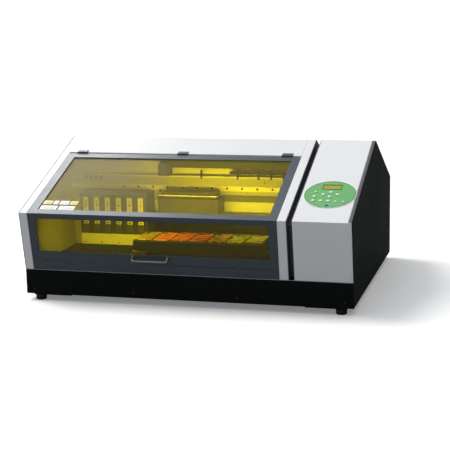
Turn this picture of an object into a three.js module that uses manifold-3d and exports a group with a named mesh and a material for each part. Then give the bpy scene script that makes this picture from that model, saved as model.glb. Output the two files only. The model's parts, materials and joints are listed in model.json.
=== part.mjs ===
// Desktop flatbed UV printer: wedge-shaped steel body on a plinth, an amber-glazed front cover that
// lifts on three hinges, a lifting table on rails, a carriage on a cross beam, six ink cartridges,
// and a control tower on the right.
// Millimetres. +X right, +Y to the back, +Z up; origin at the centre of the footprint on the floor.

import * as THREE from 'three';
import { mergeVertices } from 'three/addons/utils/BufferGeometryUtils.js';
import Module from 'manifold-3d';

const wasm = await Module();
wasm.setup();

// ---------------------------------------------------------------- overall sizes
const WIDTH = 1202;
const DEPTH = 962;
const HEIGHT = 536;
const FOLD_HEIGHT = 330; // front edge where the face meets the slope
const RIDGE_FROM_FRONT = 553;
const EAVE_HEIGHT = 339; // where the rear slope meets the upright back
const FOOT_HEIGHT = 21;
const RUNNER_HEIGHT = 4;
const PLINTH_TOP = 116;
const PLINTH_SETBACK = 39;

// ---------------------------------------------------------------- sheets and clearances
const SHEET = 2; // sheet steel
const SEAM = 0.4; // gap between touching pieces
const RUN_GAP = 1.5; // gap round pieces that move
const FIT = 0.4; // gap round a piece sliding in its guide

// ---------------------------------------------------------------- body split, measured from the left
const TOWER_WIDTH = 205;
const GROOVE_WIDTH = 21;
const GROOVE_DEPTH = 34;
const RIGHT_CHEEK_WIDTH = 31.3;
const LEFT_CHEEK_WIDTH = 31.4;
const CHEEK_FLANGE = 18;

// ---------------------------------------------------------------- front cover
const COVER_THICKNESS = 14;
const COVER_BOTTOM = 150; // height of the joint under the cover
const COVER_TOP_FROM_FRONT = 422;
const FRAME_BAR = 30;
const FRAME_BOTTOM_BAR = 36;
const FOLD_BAR_FRONT = 20;
const PANE_THICKNESS = 4;
const PANE_DEPTH = 3; // how far the glass sits below the frame's face
const PANE_LAP = 8;
const HINGE_RADIUS = 4.5;
const HINGE_PIN_RADIUS = 2;
const HINGE_WIDTH = 40;
const HINGE_INSET = 52; // first hinge's centre to the cover's side
const HANDLE_OFFSET = 5; // to the left of the cover's middle
const HANDLE_SPAN = 129;
const HANDLE_REACH = 21.5;
const HANDLE_ROD = 4.5; // radius
const HANDLE_DROP = 12;

// ---------------------------------------------------------------- inside, heights above the deck
const DECK_RISE = 8; // deck's top above the plinth's
const DECK_SHEET = 3;
const WALL_FRONT = 462; // inner back wall, from the front
const BEAM_THICKNESS = 19.6;
const BEAM_LOW = 184;
const BEAM_TOP = 281;
const BEAM_HOLE_HEIGHT = 235;
const BEAM_HOLE_RADIUS = 5;
const BEAM_HOLE_PITCH = 58.7;
const BEAM_HOLES = 11;
const RAIL_THICKNESS = 11.6;
const RAIL_LOW = 189;
const RAIL_TOP = 211;
const CARRIAGE_WIDTH = 237;
const CARRIAGE_LEFT = 408;
const CARRIAGE_FRONT = 350;
const CARRIAGE_BOTTOM = 151;
const CARRIAGE_LEDGE = 208;
const CARRIAGE_TOP = 231;
const PRINT_GAP = 3; // head to the work when the table is fully up
const CARRIAGE_BACK_TRAVEL = 28; // to the left
const CARRIAGE_TRAVEL = 535; // to the right, into the tower

// ---------------------------------------------------------------- cartridges
const CARTRIDGES = 6;
const CARTRIDGE_WIDTH = 25;
const CARTRIDGE_HEIGHT = 138;
const CARTRIDGE_DEPTH = 84;
const CARTRIDGE_PITCH = 44;
const CARTRIDGE_LOW = 73;
const BAY_LEFT = 97;
const BAY_WALL = 12;
const BAY_ROOF = 12;
const BAY_DEPTH = 90;

// ---------------------------------------------------------------- table
const Y_RAIL_WIDTH = 16;
const Y_RAIL_HEIGHT = 6;
const Y_RAIL_SPACING = 260;
const TABLE_MIDDLE = 652; // from the left
const TABLE_WIDTH = 444;
const TABLE_DEPTH = 330;
const TABLE_FRONT = 146; // at rest, from the front
const TABLE_LOW = 37;
const TABLE_THICKNESS = 16;
const TABLE_FORWARD = 84;
const TABLE_BACKWARD = 256;
const TABLE_LIFT = 42;
const POST_RADIUS = 7;
const POST_TOP = 80;
const POST_SPACING_X = 300;
const POST_SPACING_Y = 120;
const POST_FROM_FRONT = 30; // first post to the table's front edge
const JIG_LEFT = 374;
const JIG_WIDTH = 481;
const JIG_DEPTH = 155;
const JIG_HEIGHT = 33.6;
const JIG_WALL = 6;
const JIG_TOP_THICKNESS = 5;
const BLANKS = 7;
const BLANK_WIDTH = 60;
const BLANK_DEPTH = 138;
const BLANK_HEIGHT = 2;
const BLANK_PITCH = 68.5;

// ---------------------------------------------------------------- controls
const DISC_RADIUS = 90;
const DISC_THICKNESS = 1.2;
const DISC_FROM_FRONT = 173;
const DISC_FROM_TOWER = 100; // disc's middle from the tower's left edge
const BUTTON_GAP = 0.5;
const BUTTON_BODY = 7; // below the disc's face
const BUTTON_TRAVEL = 1.2;
const BUTTON_STAND = BUTTON_TRAVEL + 1.4; // above the disc
const DISPLAY_WIDTH = 64;
const DISPLAY_HEIGHT = 28;
const DISPLAY_RISE = 49; // display's middle above the disc's middle
const COLUMN = 26.5; // button grid, across
const ROW = 29; // button grid, up the slope

// ---------------------------------------------------------------- feet and rear
const FOOT_RADIUS = 20;
const FOOT_FROM_SIDE = 46.5;
const FOOT_FROM_FRONT = 62;
const FOOT_FROM_BACK = 62;
const RUNNER_WIDTH = 145;
const INLET_WIDTH = 48;
const INLET_HEIGHT = 28;
const SWITCH_WIDTH = 21;
const SWITCH_HEIGHT = 28;
const EXHAUST_RADIUS = 58;

// ---------------------------------------------------------------- materials
const look = (color, roughness, metalness, opacity = 1) =>
  new THREE.MeshStandardMaterial({ color, roughness, metalness, opacity, transparent: opacity < 1 });
const WHITE = [0xe4e5e6, 0.45, 0.1];
const SLATE = [0x54626f, 0.5, 0.2];
const BLACK = [0x171a18, 0.6, 0.1];
const GREY = [0x8f949b, 0.5, 0.3];
const STEEL = [0xb8babc, 0.3, 0.9];
const CHROME = [0xe0e2e4, 0.12, 1.0];
const AMBER = [0xd8a818, 0.15, 0.0, 0.5];

// ---------------------------------------------------------------- solids
function toSolid(geometry) {
  const bare = geometry.clone();
  bare.deleteAttribute('normal');
  bare.deleteAttribute('uv');
  const merged = mergeVertices(bare, 1e-4);
  return new wasm.Manifold(new wasm.Mesh({
    numProp: 3,
    vertProperties: Float32Array.from(merged.attributes.position.array),
    triVerts: Uint32Array.from(merged.index.array),
  }));
}

function toGeometry(solid) {
  const mesh = solid.getMesh();
  const geometry = new THREE.BufferGeometry();
  geometry.setAttribute('position', new THREE.BufferAttribute(mesh.vertProperties, 3));
  geometry.setIndex(new THREE.BufferAttribute(mesh.triVerts, 1));
  const flat = geometry.toNonIndexed();
  flat.computeVertexNormals();
  return flat;
}

const join = (...solids) => solids.reduce((whole, solid) => whole.add(solid));
const cut = (solid, ...tools) => tools.reduce((rest, tool) => rest.subtract(tool), solid);

// A block between two corners.
function block([x0, y0, z0], [x1, y1, z1]) {
  const box = new THREE.BoxGeometry(x1 - x0, y1 - y0, z1 - z0);
  box.translate((x0 + x1) / 2, (y0 + y1) / 2, (z0 + z1) / 2);
  return toSolid(box);
}

// A round bar between two points.
function bar(from, to, radius, sides = 20) {
  const start = new THREE.Vector3(...from);
  const run = new THREE.Vector3(...to).sub(start);
  const rod = new THREE.CylinderGeometry(radius, radius, run.length(), sides);
  const turn = new THREE.Quaternion().setFromUnitVectors(new THREE.Vector3(0, 1, 0), run.clone().normalize());
  rod.applyQuaternion(turn);
  rod.translate(...start.addScaledVector(run, 0.5).toArray());
  return toSolid(rod);
}

// A side-view outline, as [y, z] points, carried across from x0 to x1.
function across(outline, x0, x1) {
  const shape = new THREE.Shape(outline.map(([y, z]) => new THREE.Vector2(y, z)));
  const slab = new THREE.ExtrudeGeometry(shape, { depth: x1 - x0, bevelEnabled: false });
  const basis = new THREE.Matrix4().makeBasis(
    new THREE.Vector3(0, 1, 0), new THREE.Vector3(0, 0, 1), new THREE.Vector3(1, 0, 0));
  slab.applyMatrix4(basis);
  slab.translate(x0, 0, 0);
  return toSolid(slab);
}

// ---------------------------------------------------------------- side view of the body
const fromLeft = (x) => x - WIDTH / 2;
const fromFront = (y) => y - DEPTH / 2;

const sill = [fromFront(PLINTH_SETBACK), PLINTH_TOP + SEAM];
const fold = [fromFront(0), FOLD_HEIGHT];
const ridge = [fromFront(RIDGE_FROM_FRONT), HEIGHT];
const eave = [fromFront(DEPTH), EAVE_HEIGHT];
const heel = [fromFront(DEPTH), PLINTH_TOP + SEAM];

const mix = (a, b, t) => [a[0] + (b[0] - a[0]) * t, a[1] + (b[1] - a[1]) * t];
const span = (a, b) => Math.hypot(b[0] - a[0], b[1] - a[1]);
const along = (a, b, distance) => mix(a, b, distance / span(a, b));
const onFace = (z) => mix(sill, fold, (z - sill[1]) / (fold[1] - sill[1]));
const onSlope = (y) => mix(fold, ridge, (fromFront(y) - fold[0]) / (ridge[0] - fold[0]));

// Unit vector to the right of the way from a to b: into the body, when walking front to back.
function inward(a, b) {
  const length = span(a, b);
  return [(b[1] - a[1]) / length, -(b[0] - a[0]) / length];
}

// Points of a polyline moved inwards by a depth, mitred at its corners.
function inset(points, depth) {
  return points.map((point, i) => {
    const before = i > 0 ? inward(points[i - 1], point) : inward(point, points[i + 1]);
    const after = i < points.length - 1 ? inward(point, points[i + 1]) : before;
    const scale = depth / (1 + before[0] * after[0] + before[1] * after[1]);
    return [point[0] + (before[0] + after[0]) * scale, point[1] + (before[1] + after[1]) * scale];
  });
}

// Sheet that follows the body's side view, from one depth below its surface to another.
function shell(points, x0, x1, deep, shallow = 0) {
  const outer = shallow > 0 ? inset(points, shallow) : points;
  return across([...outer, ...inset(points, deep).reverse()], x0, x1);
}

const slopeAngle = Math.atan2(ridge[1] - fold[1], ridge[0] - fold[0]);

// Edges of the body's parts, left to right.
const bodyLeft = fromLeft(SHEET + SEAM);
const coverLeft = fromLeft(LEFT_CHEEK_WIDTH + RUN_GAP);
const towerLeft = fromLeft(WIDTH - TOWER_WIDTH);
const grooveLeft = towerLeft - GROOVE_WIDTH;
const cheekLeft = grooveLeft - RIGHT_CHEEK_WIDTH;
const coverRight = cheekLeft - RUN_GAP;
const bodyRight = fromLeft(WIDTH - SHEET - SEAM);
const chamberLeft = fromLeft(LEFT_CHEEK_WIDTH - SHEET - SEAM);
const beamLeft = chamberLeft + SEAM;
const beamRight = bodyRight - SEAM;
const coverMiddle = (coverLeft + coverRight) / 2;

const model = new THREE.Group();

function add(name, solid, [color, roughness, metalness, opacity], parent = model) {
  const mesh = new THREE.Mesh(toGeometry(solid), look(color, roughness, metalness, opacity));
  mesh.name = name;
  parent.add(mesh);
  return mesh;
}

// ---------------------------------------------------------------- base
function baseTray() {
  const low = FOOT_HEIGHT + RUNNER_HEIGHT;
  const front = fromFront(PLINTH_SETBACK);
  const outer = block([fromLeft(0), front, low], [fromLeft(WIDTH), fromFront(DEPTH), PLINTH_TOP]);
  const hollow = block(
    [fromLeft(SHEET), front + SHEET, low + SHEET],
    [fromLeft(WIDTH - SHEET), fromFront(DEPTH - SHEET), PLINTH_TOP + 1]);
  const runnerFront = fromFront(FOOT_FROM_FRONT) - FOOT_RADIUS;
  const runnerBack = fromFront(DEPTH - FOOT_FROM_BACK) + FOOT_RADIUS;
  const runners = [FOOT_FROM_SIDE - FOOT_RADIUS, WIDTH - FOOT_FROM_SIDE + FOOT_RADIUS - RUNNER_WIDTH]
    .map((x) => block(
      [fromLeft(x), runnerFront, FOOT_HEIGHT + SEAM],
      [fromLeft(x + RUNNER_WIDTH), runnerBack, low + SHEET / 2]));
  return join(cut(outer, hollow), ...runners);
}
add('base_tray', baseTray(), BLACK);

function foot(x, y) {
  const profile = [[0, 0], [FOOT_RADIUS - 2, 0], [FOOT_RADIUS, 3], [FOOT_RADIUS - 1, FOOT_HEIGHT], [0, FOOT_HEIGHT]];
  const turned = new THREE.LatheGeometry(profile.map(([r, z]) => new THREE.Vector2(r, z)), 28);
  turned.rotateX(Math.PI / 2);
  turned.translate(x, y, 0);
  return toSolid(turned);
}
for (const [end, y] of [['front', FOOT_FROM_FRONT], ['rear', DEPTH - FOOT_FROM_BACK]]) {
  for (const [side, x] of [['left', FOOT_FROM_SIDE], ['right', WIDTH - FOOT_FROM_SIDE]]) {
    add(`foot_${end}_${side}`, foot(fromLeft(x), fromFront(y)), [0x111111, 0.9, 0.0]);
  }
}

// ---------------------------------------------------------------- outer panels
add('left_side_panel', across([sill, fold, ridge, eave, heel], fromLeft(0), fromLeft(SHEET)), BLACK);
add('right_side_panel', across([sill, fold, ridge, eave, heel], fromLeft(WIDTH - SHEET), fromLeft(WIDTH)), BLACK);

// Sheet with a deeper flange down the side that faces the cover.
function cheek(x0, x1, flangeX0) {
  const line = [sill, fold, along(ridge, fold, SHEET)];
  return join(shell(line, x0, x1, SHEET), shell(line, flangeX0, flangeX0 + SHEET, CHEEK_FLANGE));
}
const cheekRight = grooveLeft - SEAM;
add('left_cheek', cheek(bodyLeft, fromLeft(LEFT_CHEEK_WIDTH), fromLeft(LEFT_CHEEK_WIDTH) - SHEET), WHITE);
add('right_cheek', cheek(cheekLeft, cheekRight, cheekLeft), WHITE);

// Roof between the cheeks, with a lip turned down at the cover's hinge line.
const roofFrontY = COVER_TOP_FROM_FRONT + 2 * HINGE_RADIUS + 1;
const roofFront = onSlope(roofFrontY);
const roofLip = [roofFront[0], roofFront[1] - 26];
const roofBack = along(ridge, fold, SHEET);
add('top_cover', shell([roofLip, roofFront, roofBack],
  fromLeft(LEFT_CHEEK_WIDTH) + SEAM, cheekLeft - SEAM, SHEET), WHITE);

const rearTop = along(ridge, eave, SHEET);
const rearEnd = along(eave, ridge, SEAM);
add('rear_cover', shell([rearTop, rearEnd], bodyLeft, grooveLeft - SEAM, SHEET), WHITE);

// Upright back with openings for the mains inlet, the power switch and the exhaust.
const rearSlope = Math.atan2(ridge[1] - eave[1], eave[0] - ridge[0]);
const rearPanelTop = along(eave, heel, SHEET * Math.cos(rearSlope) + SEAM);
const inletMiddle = [fromLeft(150), 200];
const switchMiddle = [inletMiddle[0] + INLET_WIDTH / 2 + SWITCH_WIDTH / 2 + 14, inletMiddle[1]];
const exhaustMiddle = [fromLeft(760), 232];

// Block of a width and height about an [x, z] middle, through the upright back.
function throughBack([x, z], width, height, y0 = DEPTH - 30, y1 = DEPTH + 5) {
  return block(
    [x - width / 2, fromFront(y0), z - height / 2],
    [x + width / 2, fromFront(y1), z + height / 2]);
}
const roundThroughBack = ([x, z], radius, y0 = DEPTH - 30, y1 = DEPTH + 5, sides = 32) =>
  bar([x, fromFront(y0), z], [x, fromFront(y1), z], radius, sides);

add('rear_panel', cut(
  shell([rearPanelTop, heel], bodyLeft, bodyRight, SHEET),
  throughBack(inletMiddle, INLET_WIDTH + 2 * SEAM, INLET_HEIGHT + 2 * SEAM),
  throughBack(switchMiddle, SWITCH_WIDTH + 2 * FIT + 2, SWITCH_HEIGHT + 2 * FIT + 2),
  roundThroughBack(exhaustMiddle, EXHAUST_RADIUS)), WHITE);

function powerInlet() {
  const shellBlock = throughBack(inletMiddle, INLET_WIDTH, INLET_HEIGHT, DEPTH - 26, DEPTH - 0.2);
  const socket = throughBack(inletMiddle, 25, 17, DEPTH - 18, DEPTH + 1);
  const pins = [-7, 0, 7].map((dx) => throughBack(
    [inletMiddle[0] + dx, inletMiddle[1]], 2, 5, DEPTH - 19, DEPTH - 4));
  return join(cut(shellBlock, socket), ...pins);
}
add('power_inlet', powerInlet(), BLACK);

// Rocker: a shallow V on top, turning about a line across its middle.
const ROCKER_DEPTH = 12;
const rockerAxis = [fromFront(DEPTH) - ROCKER_DEPTH / 2, switchMiddle[1]];
function rocker() {
  const half = SWITCH_HEIGHT / 2 - 1;
  const back = fromFront(DEPTH);
  const outline = [[back - ROCKER_DEPTH, rockerAxis[1] - half + 3], [back - 0.4, rockerAxis[1] - half],
    [back - 2.5, rockerAxis[1]], [back - 3.5, rockerAxis[1] + half], [back - ROCKER_DEPTH, rockerAxis[1] + half - 3]];
  return across(outline, switchMiddle[0] - SWITCH_WIDTH / 2 + FIT, switchMiddle[0] + SWITCH_WIDTH / 2 - FIT);
}
add('power_switch', rocker(), BLACK);

// Fan grille: a ring with crossed bars and a stub for an extraction duct.
function exhaustGrille() {
  const inner = EXHAUST_RADIUS - SEAM;
  const ring = cut(
    roundThroughBack(exhaustMiddle, inner, DEPTH - 30, DEPTH - 0.2),
    roundThroughBack(exhaustMiddle, inner - 6, DEPTH - 31, DEPTH + 1));
  const bars = [0, 60, 120].map((degrees) => {
    const reach = inner - 3;
    const x = Math.cos(degrees * Math.PI / 180) * reach;
    const z = Math.sin(degrees * Math.PI / 180) * reach;
    return bar(
      [exhaustMiddle[0] - x, fromFront(DEPTH - 10), exhaustMiddle[1] - z],
      [exhaustMiddle[0] + x, fromFront(DEPTH - 10), exhaustMiddle[1] + z], 2, 8);
  });
  const hub = roundThroughBack(exhaustMiddle, 16, DEPTH - 16, DEPTH - 6);
  return join(ring, ...bars, hub);
}
add('exhaust_grille', exhaustGrille(), BLACK);

add('front_lower_panel', shell([sill, onFace(COVER_BOTTOM)],
  fromLeft(LEFT_CHEEK_WIDTH) + SEAM, cheekLeft - SEAM, SHEET), SLATE);

// Channel that separates the tower from the rest of the body.
function grooveLiner() {
  const line = [sill, fold, ridge, along(eave, ridge, SHEET + SEAM)];
  const x0 = grooveLeft;
  const x1 = towerLeft;
  return join(
    shell(line, x0, x1, GROOVE_DEPTH, GROOVE_DEPTH - SHEET),
    shell(line, x0, x0 + SHEET, GROOVE_DEPTH),
    shell(line, x1 - SHEET, x1, GROOVE_DEPTH));
}
add('groove_liner', grooveLiner(), GREY);

// ---------------------------------------------------------------- controls on the tower
const discMiddle = onSlope(DISC_FROM_FRONT);
const panelPlace = new THREE.Matrix4()
  .makeTranslation(towerLeft + DISC_FROM_TOWER, discMiddle[0], discMiddle[1])
  .multiply(new THREE.Matrix4().makeRotationX(slopeAngle));
const panel = new THREE.Group();
panel.applyMatrix4(panelPlace);
model.add(panel);

// [name, across, up the slope, radius, colour]
const BIG = 5.5;
const SMALL = 4;
const buttons = [
  ['button_speed', -2 * COLUMN, 0.45 * ROW, SMALL],
  ['button_left', -COLUMN + 2, -0.1 * ROW, BIG],
  ['button_up', 0, 0.45 * ROW, BIG],
  ['button_right', COLUMN - 1, -0.1 * ROW, BIG],
  ['button_home', -2 * COLUMN, -0.62 * ROW, BIG],
  ['button_down', 0, -0.62 * ROW, BIG],
  ['button_table_up', -2 * COLUMN, -1.6 * ROW, BIG],
  ['button_table_down', -COLUMN, -1.6 * ROW, BIG],
  ['button_origin', 0, -1.6 * ROW, BIG],
  ['button_pause', COLUMN, -1.72 * ROW, SMALL],
  ['button_cancel', 2 * COLUMN, -1.72 * ROW, SMALL],
  ['button_enter', 0, -2.6 * ROW, BIG],
];
// Straight up off the slope, from one height above its surface to another.
const stub = (x, y, radius, low, high, sides = 20) => bar([x, y, low], [x, y, high], radius, sides);
const discTop = SEAM + DISC_THICKNESS;
const displayFrame = (grow, low, high) => block(
  [-DISPLAY_WIDTH / 2 - grow, DISPLAY_RISE - DISPLAY_HEIGHT / 2 - grow, low],
  [DISPLAY_WIDTH / 2 + grow, DISPLAY_RISE + DISPLAY_HEIGHT / 2 + grow, high]);
const buttonHoles = buttons.map(([, x, y, radius]) => stub(x, y, radius + BUTTON_GAP, -10, 10));
const controlCuts = [...buttonHoles, displayFrame(SEAM, -10, 10)];

add('control_panel', cut(stub(0, 0, DISC_RADIUS, SEAM, discTop, 72), ...controlCuts), [0x76bc76, 0.5, 0.0], panel);
add('display', displayFrame(0, -6, discTop - 0.5), [0xa89a20, 0.2, 0.0], panel);
for (const [name, x, y, radius] of buttons) {
  const colour = name === 'button_enter' ? 0x3060c8 : 0xeef0f0;
  add(name, stub(x, y, radius, discTop - BUTTON_BODY, discTop + BUTTON_STAND), [colour, 0.4, 0.0], panel);
}

const towerSkin = shell([sill, fold, ridge, along(eave, ridge, SEAM)], towerLeft + SEAM, bodyRight, SHEET);
add('tower_cover', cut(towerSkin, ...controlCuts.map((tool) => tool.transform(panelPlace.elements))), WHITE);

// ---------------------------------------------------------------- front cover
const hingeAxis = [onSlope(COVER_TOP_FROM_FRONT + HINGE_RADIUS)[0],
  onSlope(COVER_TOP_FROM_FRONT + HINGE_RADIUS)[1] + 1.5];
const hingeMiddles = [coverLeft + HINGE_INSET, coverMiddle, coverRight - HINGE_INSET];
const hingeBar = (x0, x1, radius) => bar([x0, ...hingeAxis], [x1, ...hingeAxis], radius, 20);

const coverLine = [onFace(COVER_BOTTOM + RUN_GAP), fold, onSlope(COVER_TOP_FROM_FRONT)];
const faceWindow = [onFace(COVER_BOTTOM + RUN_GAP + FRAME_BOTTOM_BAR), along(fold, sill, FOLD_BAR_FRONT)];
const slopeWindow = [along(fold, ridge, FRAME_BAR), along(coverLine[2], fold, FRAME_BAR)];
const stretch = ([a, b], extra) => [along(a, b, -extra), along(b, a, -extra)];
const raise = (points, height) => inset(points, -height);

function coverFrame() {
  const left = coverLeft + FRAME_BAR;
  const right = coverRight - FRAME_BAR;
  const windows = [faceWindow, slopeWindow].flatMap((opening) => [
    shell(raise(opening, 5), left, right, 5 + PANE_DEPTH + 1),
    shell(stretch(opening, PANE_LAP), left - PANE_LAP, right + PANE_LAP, COVER_THICKNESS + 5, PANE_DEPTH),
  ]);
  const knuckleRun = HINGE_WIDTH / 3;
  const knuckles = hingeMiddles.flatMap((x) => [-1, 1].map((side) => {
    const x0 = x + side * (knuckleRun / 2 + SEAM);
    const x1 = x + side * HINGE_WIDTH / 2;
    const tab = across([
      [hingeAxis[0] - HINGE_RADIUS - 6, hingeAxis[1] - 8], [hingeAxis[0] - HINGE_RADIUS - 6, hingeAxis[1] - 4.6],
      [hingeAxis[0] - 1, hingeAxis[1] - 1.5], [hingeAxis[0] - 1, hingeAxis[1] - 4]],
    Math.min(x0, x1), Math.max(x0, x1));
    return cut(
      join(hingeBar(x0, x1, HINGE_RADIUS), tab),
      hingeBar(x0 - side * 2, x1 + side * 2, HINGE_PIN_RADIUS + FIT));
  }));
  return join(cut(shell(coverLine, coverLeft, coverRight, COVER_THICKNESS), ...windows), ...knuckles);
}
add('cover_frame', coverFrame(), SLATE);

const paneFrom = coverLeft + FRAME_BAR - PANE_LAP + SEAM;
const paneTo = coverRight - FRAME_BAR + PANE_LAP - SEAM;
const pane = (opening) => shell(stretch(opening, PANE_LAP - SEAM), paneFrom, paneTo,
  PANE_DEPTH + SEAM + PANE_THICKNESS, PANE_DEPTH + SEAM);
add('upper_pane', pane(slopeWindow), AMBER);
add('lower_pane', pane(faceWindow), AMBER);

// Fixed half of each hinge: a leaf on the roof, the middle knuckle and the pin.
hingeMiddles.forEach((x, i) => {
  const half = HINGE_WIDTH / 2;
  const leafFront = along(roofFront, ridge, -0.5);
  const leafBack = along(roofFront, ridge, 14);
  const leaf = shell(raise([leafFront, leafBack], SEAM + 2), x - half, x + half, 2);
  const knuckle = hingeBar(x - HINGE_WIDTH / 6 + SEAM, x + HINGE_WIDTH / 6 - SEAM, HINGE_RADIUS);
  const webBack = along(roofFront, ridge, 3);
  const web = across([
    [hingeAxis[0], hingeAxis[1]], [hingeAxis[0], hingeAxis[1] + HINGE_RADIUS - 0.4],
    raise([webBack, leafBack], SEAM + 1.9)[0], raise([webBack, leafBack], SEAM + 0.1)[0]],
  x - HINGE_WIDTH / 6 + SEAM, x + HINGE_WIDTH / 6 - SEAM);
  const pin = hingeBar(x - half, x + half, HINGE_PIN_RADIUS);
  add(`hinge_${['left', 'middle', 'right'][i]}`, join(leaf, web, knuckle, pin), CHROME);
});

// Bail pull: a rod with two legs out of the bottom rail and a straight grip hanging a little lower.
function bail() {
  const root = onFace(COVER_BOTTOM + FRAME_BOTTOM_BAR - 4);
  const out = inward(fold, sill);
  const at = (x, away, drop) => new THREE.Vector3(x, root[0] + out[0] * away, root[1] + out[1] * away - drop);
  const middle = coverMiddle - HANDLE_OFFSET;
  const half = HANDLE_SPAN / 2;
  const bend = 14;
  const clear = SEAM + HANDLE_ROD * HANDLE_DROP / HANDLE_REACH;
  const route = new THREE.CurvePath();
  const stations = [
    at(middle - half, clear, 0), at(middle - half, HANDLE_REACH, HANDLE_DROP),
    at(middle + half, HANDLE_REACH, HANDLE_DROP), at(middle + half, clear, 0)];
  const toward = (a, b, distance) => a.clone().add(b.clone().sub(a).setLength(distance));
  const corners = [1, 2].map((i) => [
    toward(stations[i], stations[i - 1], bend), stations[i], toward(stations[i], stations[i + 1], bend)]);
  route.add(new THREE.LineCurve3(stations[0], corners[0][0]));
  route.add(new THREE.QuadraticBezierCurve3(...corners[0]));
  route.add(new THREE.LineCurve3(corners[0][2], corners[1][0]));
  route.add(new THREE.QuadraticBezierCurve3(...corners[1]));
  route.add(new THREE.LineCurve3(corners[1][2], stations[3]));
  const section = new THREE.Shape().absarc(0, 0, HANDLE_ROD, 0, 2 * Math.PI, true);
  const rod = new THREE.ExtrudeGeometry(section, { extrudePath: route, steps: 44, curveSegments: 5 });
  return toSolid(rod);
}
add('handle', bail(), CHROME);

// ---------------------------------------------------------------- chamber
const deckTop = PLINTH_TOP + DECK_RISE;
const overDeck = (height) => deckTop + height;
const [beamLow, beamTop, beamHoleZ] = [BEAM_LOW, BEAM_TOP, BEAM_HOLE_HEIGHT].map(overDeck);
const [railLow, railTop] = [RAIL_LOW, RAIL_TOP].map(overDeck);
const [hoodLow, hoodLedge, hoodTop] = [CARRIAGE_BOTTOM, CARRIAGE_LEDGE, CARRIAGE_TOP].map(overDeck);
const [cartridgeLow, tableLow, postTop] = [CARTRIDGE_LOW, TABLE_LOW, POST_TOP].map(overDeck);
const tableTop = tableLow + TABLE_THICKNESS;
const jigLow = tableTop + SEAM;
const jigTop = jigLow + JIG_HEIGHT;
const headLow = jigTop + BLANK_HEIGHT + TABLE_LIFT + PRINT_GAP;
function bedDeck() {
  const corner = [bodyLeft + SEAM, fromFront(PLINTH_SETBACK + GROOVE_DEPTH + 4)];
  const far = [bodyRight - SEAM, fromFront(DEPTH - SHEET - 6)];
  const plate = block([corner[0], corner[1], deckTop - DECK_SHEET], [far[0], far[1], deckTop]);
  const flanges = [[corner[1], corner[1] + SHEET], [far[1] - SHEET, far[1]]].map(([y0, y1]) =>
    block([corner[0], y0, PLINTH_TOP + SEAM], [far[0], y1, deckTop - DECK_SHEET / 2]));
  return join(plate, ...flanges);
}
add('bed_deck', bedDeck(), [0x2a2c2a, 0.6, 0.3]);

// Left wall and back wall of the print chamber; the table runs through the opening low in the back.
const tableLeft = fromLeft(TABLE_MIDDLE - TABLE_WIDTH / 2);
const tableRight = fromLeft(TABLE_MIDDLE + TABLE_WIDTH / 2);
const wallY = fromFront(WALL_FRONT);
const underRoof = (y) => onSlope(y)[1] - CHEEK_FLANGE - 10;
function chamberLiner() {
  const floor = deckTop + SEAM;
  const side = across([
    [fromFront(60), floor], [fromFront(60), underRoof(60)], [wallY + SHEET, underRoof(WALL_FRONT)],
    [wallY + SHEET, floor]], chamberLeft - SHEET, chamberLeft);
  const back = block([chamberLeft - SHEET, wallY, floor], [cheekLeft - SEAM, wallY + SHEET, underRoof(WALL_FRONT)]);
  const doorway = block(
    [fromLeft(JIG_LEFT) - 20, wallY - 5, floor - 5],
    [tableRight + 40, wallY + SHEET + 5, headLow + 10]);
  return join(side, cut(back, doorway));
}
add('chamber_liner', chamberLiner(), [0x6d7073, 0.6, 0.2]);

// Cross beam: a channel open to the back, with a row of holes along its face.
const beamBack = wallY - SEAM;
const beamFront = beamBack - BEAM_THICKNESS;
function gantryBeam() {
  const outer = block([beamLeft, beamFront, beamLow], [beamRight, beamBack, beamTop]);
  const hollow = block([beamLeft - 1, beamFront + 3, beamLow + 3], [beamRight + 1, beamBack + 1, beamTop - 3]);
  const firstHole = fromLeft(244);
  const holes = Array.from({ length: BEAM_HOLES }, (_, i) => {
    const x = firstHole + i * BEAM_HOLE_PITCH;
    return bar([x, beamFront - 1, beamHoleZ], [x, beamFront + 4, beamHoleZ], BEAM_HOLE_RADIUS, 16);
  });
  return cut(outer, hollow, ...holes);
}
add('gantry_beam', gantryBeam(), [0xa9abac, 0.4, 0.6]);

const carriageLeft = fromLeft(CARRIAGE_LEFT);
const carriageRight = carriageLeft + CARRIAGE_WIDTH;
const railBack = beamFront - SEAM;
const railFront = railBack - RAIL_THICKNESS;
add('guide_rail', block(
  [carriageLeft - CARRIAGE_BACK_TRAVEL, railFront, railLow],
  [carriageRight + CARRIAGE_TRAVEL + RUN_GAP, railBack, railTop]), STEEL);

// Cartridge bay: a block on the deck with a slot for each cartridge and an open space underneath.
const bayFront = fromFront(CARRIAGE_FRONT);
const bayWidth = 2 * BAY_WALL + (CARTRIDGES - 1) * CARTRIDGE_PITCH + CARTRIDGE_WIDTH;
const bayLeft = fromLeft(BAY_LEFT);
const cartridgeMiddle = (i) => bayLeft + BAY_WALL + CARTRIDGE_WIDTH / 2 + i * CARTRIDGE_PITCH;
function cartridgeBay() {
  const top = cartridgeLow + CARTRIDGE_HEIGHT + BAY_ROOF;
  const right = bayLeft + bayWidth;
  const back = bayFront + BAY_DEPTH;
  const outer = block([bayLeft, bayFront, deckTop + SEAM], [right, back, top]);
  const under = block(
    [bayLeft + 8, bayFront - 1, deckTop - 1], [right - 8, back - 8, cartridgeLow - FIT - 8]);
  const slots = Array.from({ length: CARTRIDGES }, (_, i) => {
    const x = cartridgeMiddle(i);
    const half = CARTRIDGE_WIDTH / 2 + FIT;
    return block(
      [x - half, bayFront - 1, cartridgeLow - FIT],
      [x + half, bayFront + CARTRIDGE_DEPTH + FIT, cartridgeLow + CARTRIDGE_HEIGHT + FIT]);
  });
  return cut(outer, under, ...slots);
}
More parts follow.
